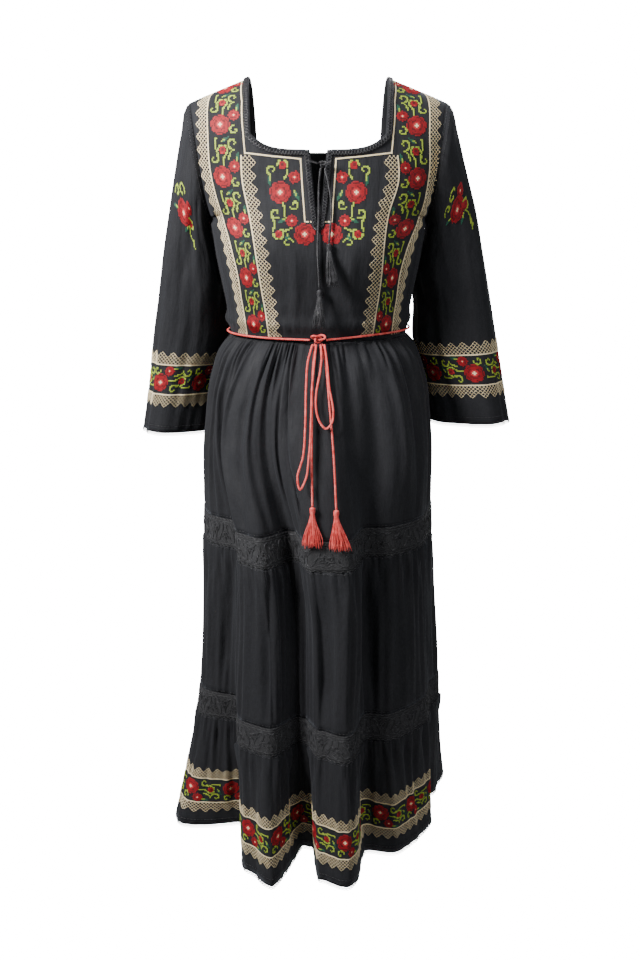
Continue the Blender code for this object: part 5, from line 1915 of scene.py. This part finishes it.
def sleeve_tube(table, hand, seed):
    """A sleeve from its armhole to its cuff, with soft creases at the elbow."""
    rng = np.random.default_rng(seed)
    turns = np.linspace(0.0, 2 * math.pi, SLEEVE_COLUMNS, endpoint=False)
    rows = np.array(sleeve_rows(table, hand, turns))
    steps = np.linalg.norm(np.diff(rows, axis=0), axis=2).mean(axis=1)
    levels = np.concatenate([[0.0], np.cumsum(steps)])
    fine = np.linspace(0.0, levels[-1], SLEEVE_ROWS)
    points = through(levels, rows.reshape(len(rows), -1), fine)
    points = points.reshape(SLEEVE_ROWS, SLEEVE_COLUMNS, 3)
    middle = points.mean(axis=1, keepdims=True)
    out = unit(points - middle)
    share = fine / levels[-1]
    rise = np.zeros(points.shape[:2])
    for crease in SLEEVE_CREASES:
        along = (share - crease.start) / (crease.end - crease.start)
        turn = np.radians(crease.turn_top + (crease.turn_foot - crease.turn_top) * along)
        fade = smooth(along * 3) * smooth((1 - along) * 3)
        off = np.mod(turns[None] - turn[:, None] + math.pi, 2 * math.pi) - math.pi
        rise += crease.rise * fade[:, None] * np.exp(-((off / math.radians(crease.spread)) ** 2))
    around = turns / (2 * math.pi)
    small = uneven_wave(around, 7, 20, 7, rng)
    other = uneven_wave(around, 7, 20, 7, rng)
    ripple = small[None] * np.cos(3 * share)[:, None] + other[None] * np.sin(3 * share)[:, None]
    rise += SLEEVE_RIPPLE * ripple * smooth(share * 8)[:, None]
    inward = ((1 - np.cos(turns)) / 2) ** 3
    rise += UNDERARM_RISE * smooth(1 - share / UNDERARM_REACH)[:, None] * inward[None]
    return Tube(points + out * rise[..., None], outward=-hand)


def add_sleeves(cotton):
    """Both sleeves, and the cloth they are made of."""
    tubes = {}
    for name, rings, hand, seed in (("right", RIGHT_SLEEVE, -1, 5), ("left", LEFT_SLEEVE, 1, 6)):
        tube = tubes[name] = sleeve_tube(rings, hand, seed)
        node = "sleeve_" + name
        obj = piece(node, tube.mesh(node), [cotton], [node], CLOTH_SHOWN)
    return tubes


# Edgings, bindings and seams


def picot_edging(name, foot, down, out, height, look):
    """A worked edging: a chain along the cloth, bars, a second chain and small loops below it."""
    threads = Threads()
    line, ways, faces = (np.concatenate([rows, rows[:1]]) for rows in (foot, down, out))
    run = lengths_of(line)
    count = int(round(run[-1] / PICOT_PITCH))

    def place(at, drop, lift=0.0):
        at = np.mod(at, run[-1])
        face = unit(read_line(faces, run, at))
        drop, lift = (np.broadcast_to(value, at.shape)[:, None] for value in (drop, lift))
        return read_line(line, run, at) + unit(read_line(ways, run, at)) * drop + face * lift, face

    along = np.linspace(0.0, run[-1], 4 * count, endpoint=False)
    beads = BEAD_RISE * np.cos(along / run[-1] * 2 * math.pi * count * 2)
    for drop in (0.0006, LOOP_TOP * height):
        path, face = place(along, drop, beads)
        threads.add(path, CHAIN_THREAD, face, 4, closed=True)
    t = np.linspace(0.0, math.pi, 7)
    for i in range(count):
        at = (i + 0.5) / count * run[-1]
        bar, face = place(np.array([at - 0.0004, at + 0.0004]), np.array([0.0, 0.44 * height]))
        threads.add(bar, PICOT_THREAD, face, 4)
        drop = LOOP_TOP * height + 0.52 * height * np.sin(t) ** 0.8
        path, face = place(at + 0.46 * PICOT_PITCH * np.cos(t), drop)
        threads.add(path, PICOT_THREAD, face, 4)
    piece(name, threads.mesh(name), [look], [name])


def binding(name, trees, path, away_from, look):
    """A rounded strip of folded cloth laid on the panels along an edge."""
    path = even(path, BRAID_PITCH / 4)
    rows, ways = [], []
    for point, direction in zip(path, np.gradient(path, axis=0)):
        place, normal = nearest(trees, Vector(point))
        across = Vector(direction).normalized().cross(normal).normalized()
        if across.dot(place - Vector(away_from)) < 0:
            across.negate()
        ring = []
        for share, rise in BINDING_SECTION:
            beside = place + across * (share * BINDING_WIDTH)
            spot, way = nearest(trees, beside)
            ring.append((beside if share < 0 else spot) + way * rise)
        rows.append(ring)
        ways.append(normal)
    points = np.array(rows)
    count, size = points.shape[:2]
    index = np.arange(count * size).reshape(count, size)
    low, high = index[:-1], index[1:]
    faces = np.stack([low[:, :-1], high[:, :-1], high[:, 1:], low[:, 1:]], -1).reshape(-1, 4)
    normal = np.cross(points[1, 3] - points[0, 3], points[0, 4] - points[0, 3])
    _, way = nearest(trees, Vector(points[0, 3]))
    if np.dot(normal, way) < 0:
        faces = faces[:, ::-1]
    run = lengths_of(path)
    across = np.linspace(0, BINDING_WIDTH, size)
    uv = np.stack(np.broadcast_arrays(run[:, None], across[None]), -1).reshape(-1, 2)
    mesh = mesh_of(name, points.reshape(-1, 3), faces)
    add_uv(mesh, uv[faces])
    piece(name, mesh, [look], [name])
    return points, np.array(ways), run


def braid(threads, points, ways, run):
    """Two threads that cross over and under each other along a binding."""
    number = np.arange(len(points))
    turns = run / BRAID_PITCH * math.pi
    for phase in (0.0, math.pi):
        share = BRAID_MIDDLE + BRAID_SWING * np.sin(turns + phase)
        low = np.floor(share).astype(int)
        part = (share - low)[:, None]
        line = points[number, low] * (1 - part) + points[number, low + 1] * part
        lift = BRAID_LIFT * (1 + 0.5 * np.cos(turns + phase))
        threads.add(line + ways * lift[:, None], BRAID_THREAD, ways, 5)


def seam_stitches(threads, line, normals):
    """Short sewn stitches along a line on the cloth."""
    run = lengths_of(line)
    marks, lift = np.transpose(SEAM_STITCH)
    for i in range(int(run[-1] / SEAM_PITCH)):
        at = (i + marks) * SEAM_PITCH
        face = unit(read_line(normals, run, at))
        threads.add(read_line(line, run, at) + face * lift[:, None], SEAM_THREAD, face, 3)


def add_edgings(tubes, sleeves, look):
    """The picot edgings of the hem and of the cuffs."""
    tube = tubes["skirt_tier_3"]
    down = np.broadcast_to((0.0, 0.0, -1.0), tube.points[-1].shape)
    picot_edging("hem_edging", tube.points[-1], down, tube.normals[-1], HEM_EDGING, look)
    for name, tube in sleeves.items():
        down = unit(tube.points[-1] - tube.points[-2])
        edge = (tube.points[-1], down, tube.normals[-1])
        picot_edging("cuff_edging_" + name, *edge, CUFF_EDGING, look)


def neck_edge_path(side, hand):
    """Edge of the neck opening on one half of a panel, from the centre up to the shoulder."""
    rows = bodice_rows(side, hand)
    top = LOWER_STEPS + CHEST_STEPS
    return list(rows[top][: MIDDLE_STEPS + 1]) + [row[0] for row in rows[top + 1 :]]


def add_bindings(front, back, cotton, look):
    """The bindings of the neck and of the slit, with the braid worked along them."""
    threads = Threads()
    path = neck_edge_path(-1, -1)[1:] + neck_edge_path(1, -1)[-2::-1]
    path += neck_edge_path(1, 1)[1:] + neck_edge_path(-1, 1)[-2:0:-1]
    braid(threads, *binding("neck_binding", (front, back), path, NECK_MIDDLE, cotton))
    heights = np.linspace(NECK_BOTTOM - 0.002, SLIT_BOTTOM, 24)
    side = [(slit_half(h), front_depth(slit_half(h), h), h) for h in heights]
    foot = (0.0, front_depth(0.0, SLIT_POINT), SLIT_POINT)
    side.append(tuple((a + b) / 2 for a, b in zip(side[-1], foot)))
    path = [(-x, y, z) for x, y, z in side] + [foot] + side[::-1]
    middle = (0.0, foot[1], SLIT_MIDDLE)
    braid(threads, *binding("slit_binding", (front,), path, middle, cotton))
    piece("binding_braid", threads.mesh("binding_braid"), [look])


def add_seams(trees, tubes, sleeves, look):
    """The sewn lines: armholes, shoulders, sides, sleeves, waist, lace edges and hems."""
    threads = Threads()

    def sew(tube, row, column):
        seam_stitches(threads, *tube.at(*np.broadcast_arrays(row, column)))

    for tube in sleeves.values():
        round_it = np.linspace(0.0, SLEEVE_COLUMNS, 200)
        sew(tube, 0.9, round_it)
        sew(tube, 0.2, round_it)
        sew(tube, np.linspace(1.0, SLEEVE_ROWS - 1.5, 200), SLEEVE_COLUMNS * 0.53)
        sew(tube, tube.row_above_foot(CUFF_TURNING), round_it)
    for tier in TIERS:
        tube = tubes[tier.name]
        foot = HEM_TURNING if tier.lifted else SEAM_MARGIN
        for distance in (SEAM_MARGIN, tube.down[-1] - foot):
            row = np.interp(distance, tube.down, np.arange(len(tube.down)))
            sew(tube, row, np.linspace(0.0, tier.columns, 900))
        for column in (1.2, tier.columns / 2 + 1.2):
            sew(tube, np.linspace(0.0, tier.rows - 1.01, 120), column)
    for side, tree in zip((-1, 1), trees):
        for hand in (-1, 1):
            rows = fine_rows(side, hand)
            side_seam = [row[-4] for row in rows[:LOWER_STEPS]]
            for line in (side_seam, rows[-2], rows[1]):
                seam_stitches(threads, *on_cloth(tree, even(line, SEAM_MARGIN)))
    piece("seam_stitching", threads.mesh("seam_stitching"), [look])


# Studio


def add_light(name, place, size, power, colour, aim):
    """A soft rectangular light turned towards a place."""
    data = bpy.data.lights.new(name, "AREA")
    data.shape = "RECTANGLE"
    data.size, data.size_y = size
    data.energy = power
    data.color = colour
    lamp = bpy.data.objects.new(name, data)
    bpy.context.scene.collection.objects.link(lamp)
    lamp.location = place
    lamp.rotation_mode = "QUATERNION"
    lamp.rotation_quaternion = (Vector(aim) - Vector(place)).to_track_quat("-Z", "Y")


def add_camera():
    """The camera, at the photograph's place and angle."""
    data = bpy.data.cameras.new("camera")
    data.sensor_fit = "AUTO"
    data.sensor_width = SENSOR
    data.lens = SENSOR * FOCAL_SHARE
    data.clip_start, data.clip_end = 0.05, 30.0
    camera = bpy.data.objects.new("camera", data)
    bpy.context.scene.collection.objects.link(camera)
    camera.location = CAMERA_PLACE
    camera.rotation_euler = (math.radians(90 - CAMERA_DIP), 0.0, 0.0)
    bpy.context.scene.camera = camera


def add_studio():
    """A white sweep of floor and wall behind the dress, a pale surround and soft lights."""
    made, tree, shader = material("white_sweep", (0.35, 0.35, 0.35), 0.9)
    where = add_node(tree, "ShaderNodeTexCoord").outputs["Object"]
    tree.links.new(bump(tree, noise(tree, where, 60.0), 0.05, 0.001), shader.inputs["Normal"])
    shown = add_node(tree, "ShaderNodeLightPath").outputs["Is Camera Ray"]
    glow = worked_out(tree, "MULTIPLY", shown, SWEEP_GLOW)
    shader.inputs["Emission Color"].default_value = (1.0, 1.0, 1.0, 1.0)
    tree.links.new(glow, shader.inputs["Emission Strength"])
    bend = [(math.sin(t), 1 - math.cos(t)) for t in np.linspace(0.1, 1.57, 12)]
    profile = [(-3.2, FLOOR), (1.6, FLOOR)]
    profile += [(1.6 + SWEEP_BEND * y, FLOOR + SWEEP_BEND * z) for y, z in bend]
    profile += [(2.5, 3.2)]
    points = np.array([[(x, y, z) for x in np.linspace(-4.5, 4.5, 7)] for y, z in profile])
    index = np.arange(points[..., 0].size).reshape(points.shape[:2])
    faces = np.stack([index[:-1, :-1], index[:-1, 1:], index[1:, 1:], index[1:, :-1]], -1)
    mesh = mesh_of("studio_sweep", points.reshape(-1, 3), faces.reshape(-1, 4))
    mesh.materials.append(made)
    sweep = bpy.data.objects.new("studio_sweep", mesh)
    bpy.context.scene.collection.objects.link(sweep)
    world = bpy.data.worlds.new("studio")
    bpy.context.scene.world = world
    world.use_nodes = True
    tree = world.node_tree
    background = tree.nodes["Background"]
    background.inputs["Color"].default_value = (1.0, 1.0, 1.0, 1.0)
    seen = add_node(tree, "ShaderNodeLightPath").outputs["Is Camera Ray"]
    strength = worked_out(tree, "MULTIPLY_ADD", seen, SWEEP_GLOW, SURROUND)
    tree.links.new(strength, background.inputs["Strength"])
    for light in LIGHTS:
        add_light(*light)


def main():
    lace_thread = thread_look("lace_thread_look", *LACE_THREAD_COLOURS, 0.48, 0.05)
    add_camera()
    coral = thread_look("coral_cord_look", CORAL, CORAL_PALE, 0.50, 0.10)
    black = thread_look("black_cord_look", *BLACK_CORD_COLOURS, 0.30, 0.05)
    add_cords(coral, black)
    cotton = cotton_look()
    lace = lace_look()
    floss = [
        thread_look("floss_" + name, colour, pale, 0.66, 0.02, 3200.0, 0.00015)
        for name, colour, pale in FLOSS
    ]
    tubes = add_skirt(cotton, lace, lace_thread)
    front_obj, front = bodice_sheet("bodice_front", -1, cotton)
    back_obj, back = bodice_sheet("bodice_back", 1, cotton)
    sleeves = add_sleeves(cotton)
    add_bindings(front, back, cotton, black)
    add_edgings(tubes, sleeves, lace_thread)
    add_seams((front, back), tubes, sleeves, black)
    embroider_bodice(front, floss)
    embroider_yoke(front, floss)
    stop = int(MARKS[[fold.name for fold in FOLDS].index("left_valley")] * TIERS[2].columns)
    hem = tubes["skirt_tier_3"]
    embroider_ring("embroidery_hem", hem, HEM_PLAIN, stop, floss, cell=HEM_CELL, flip=True)
    for name, shift in (("right", 20), ("left", 8)):
        cuff = sleeves[name]
        embroider_ring("embroidery_cuff_" + name, cuff, CUFF_PLAIN, SLEEVE_COLUMNS, floss, shift)
    for name, spot in SPRAY_SPOTS:
        embroider_sleeve("embroidery_sleeve_" + name, sleeves[name], spot, name == "right", floss)
    add_studio()


main()
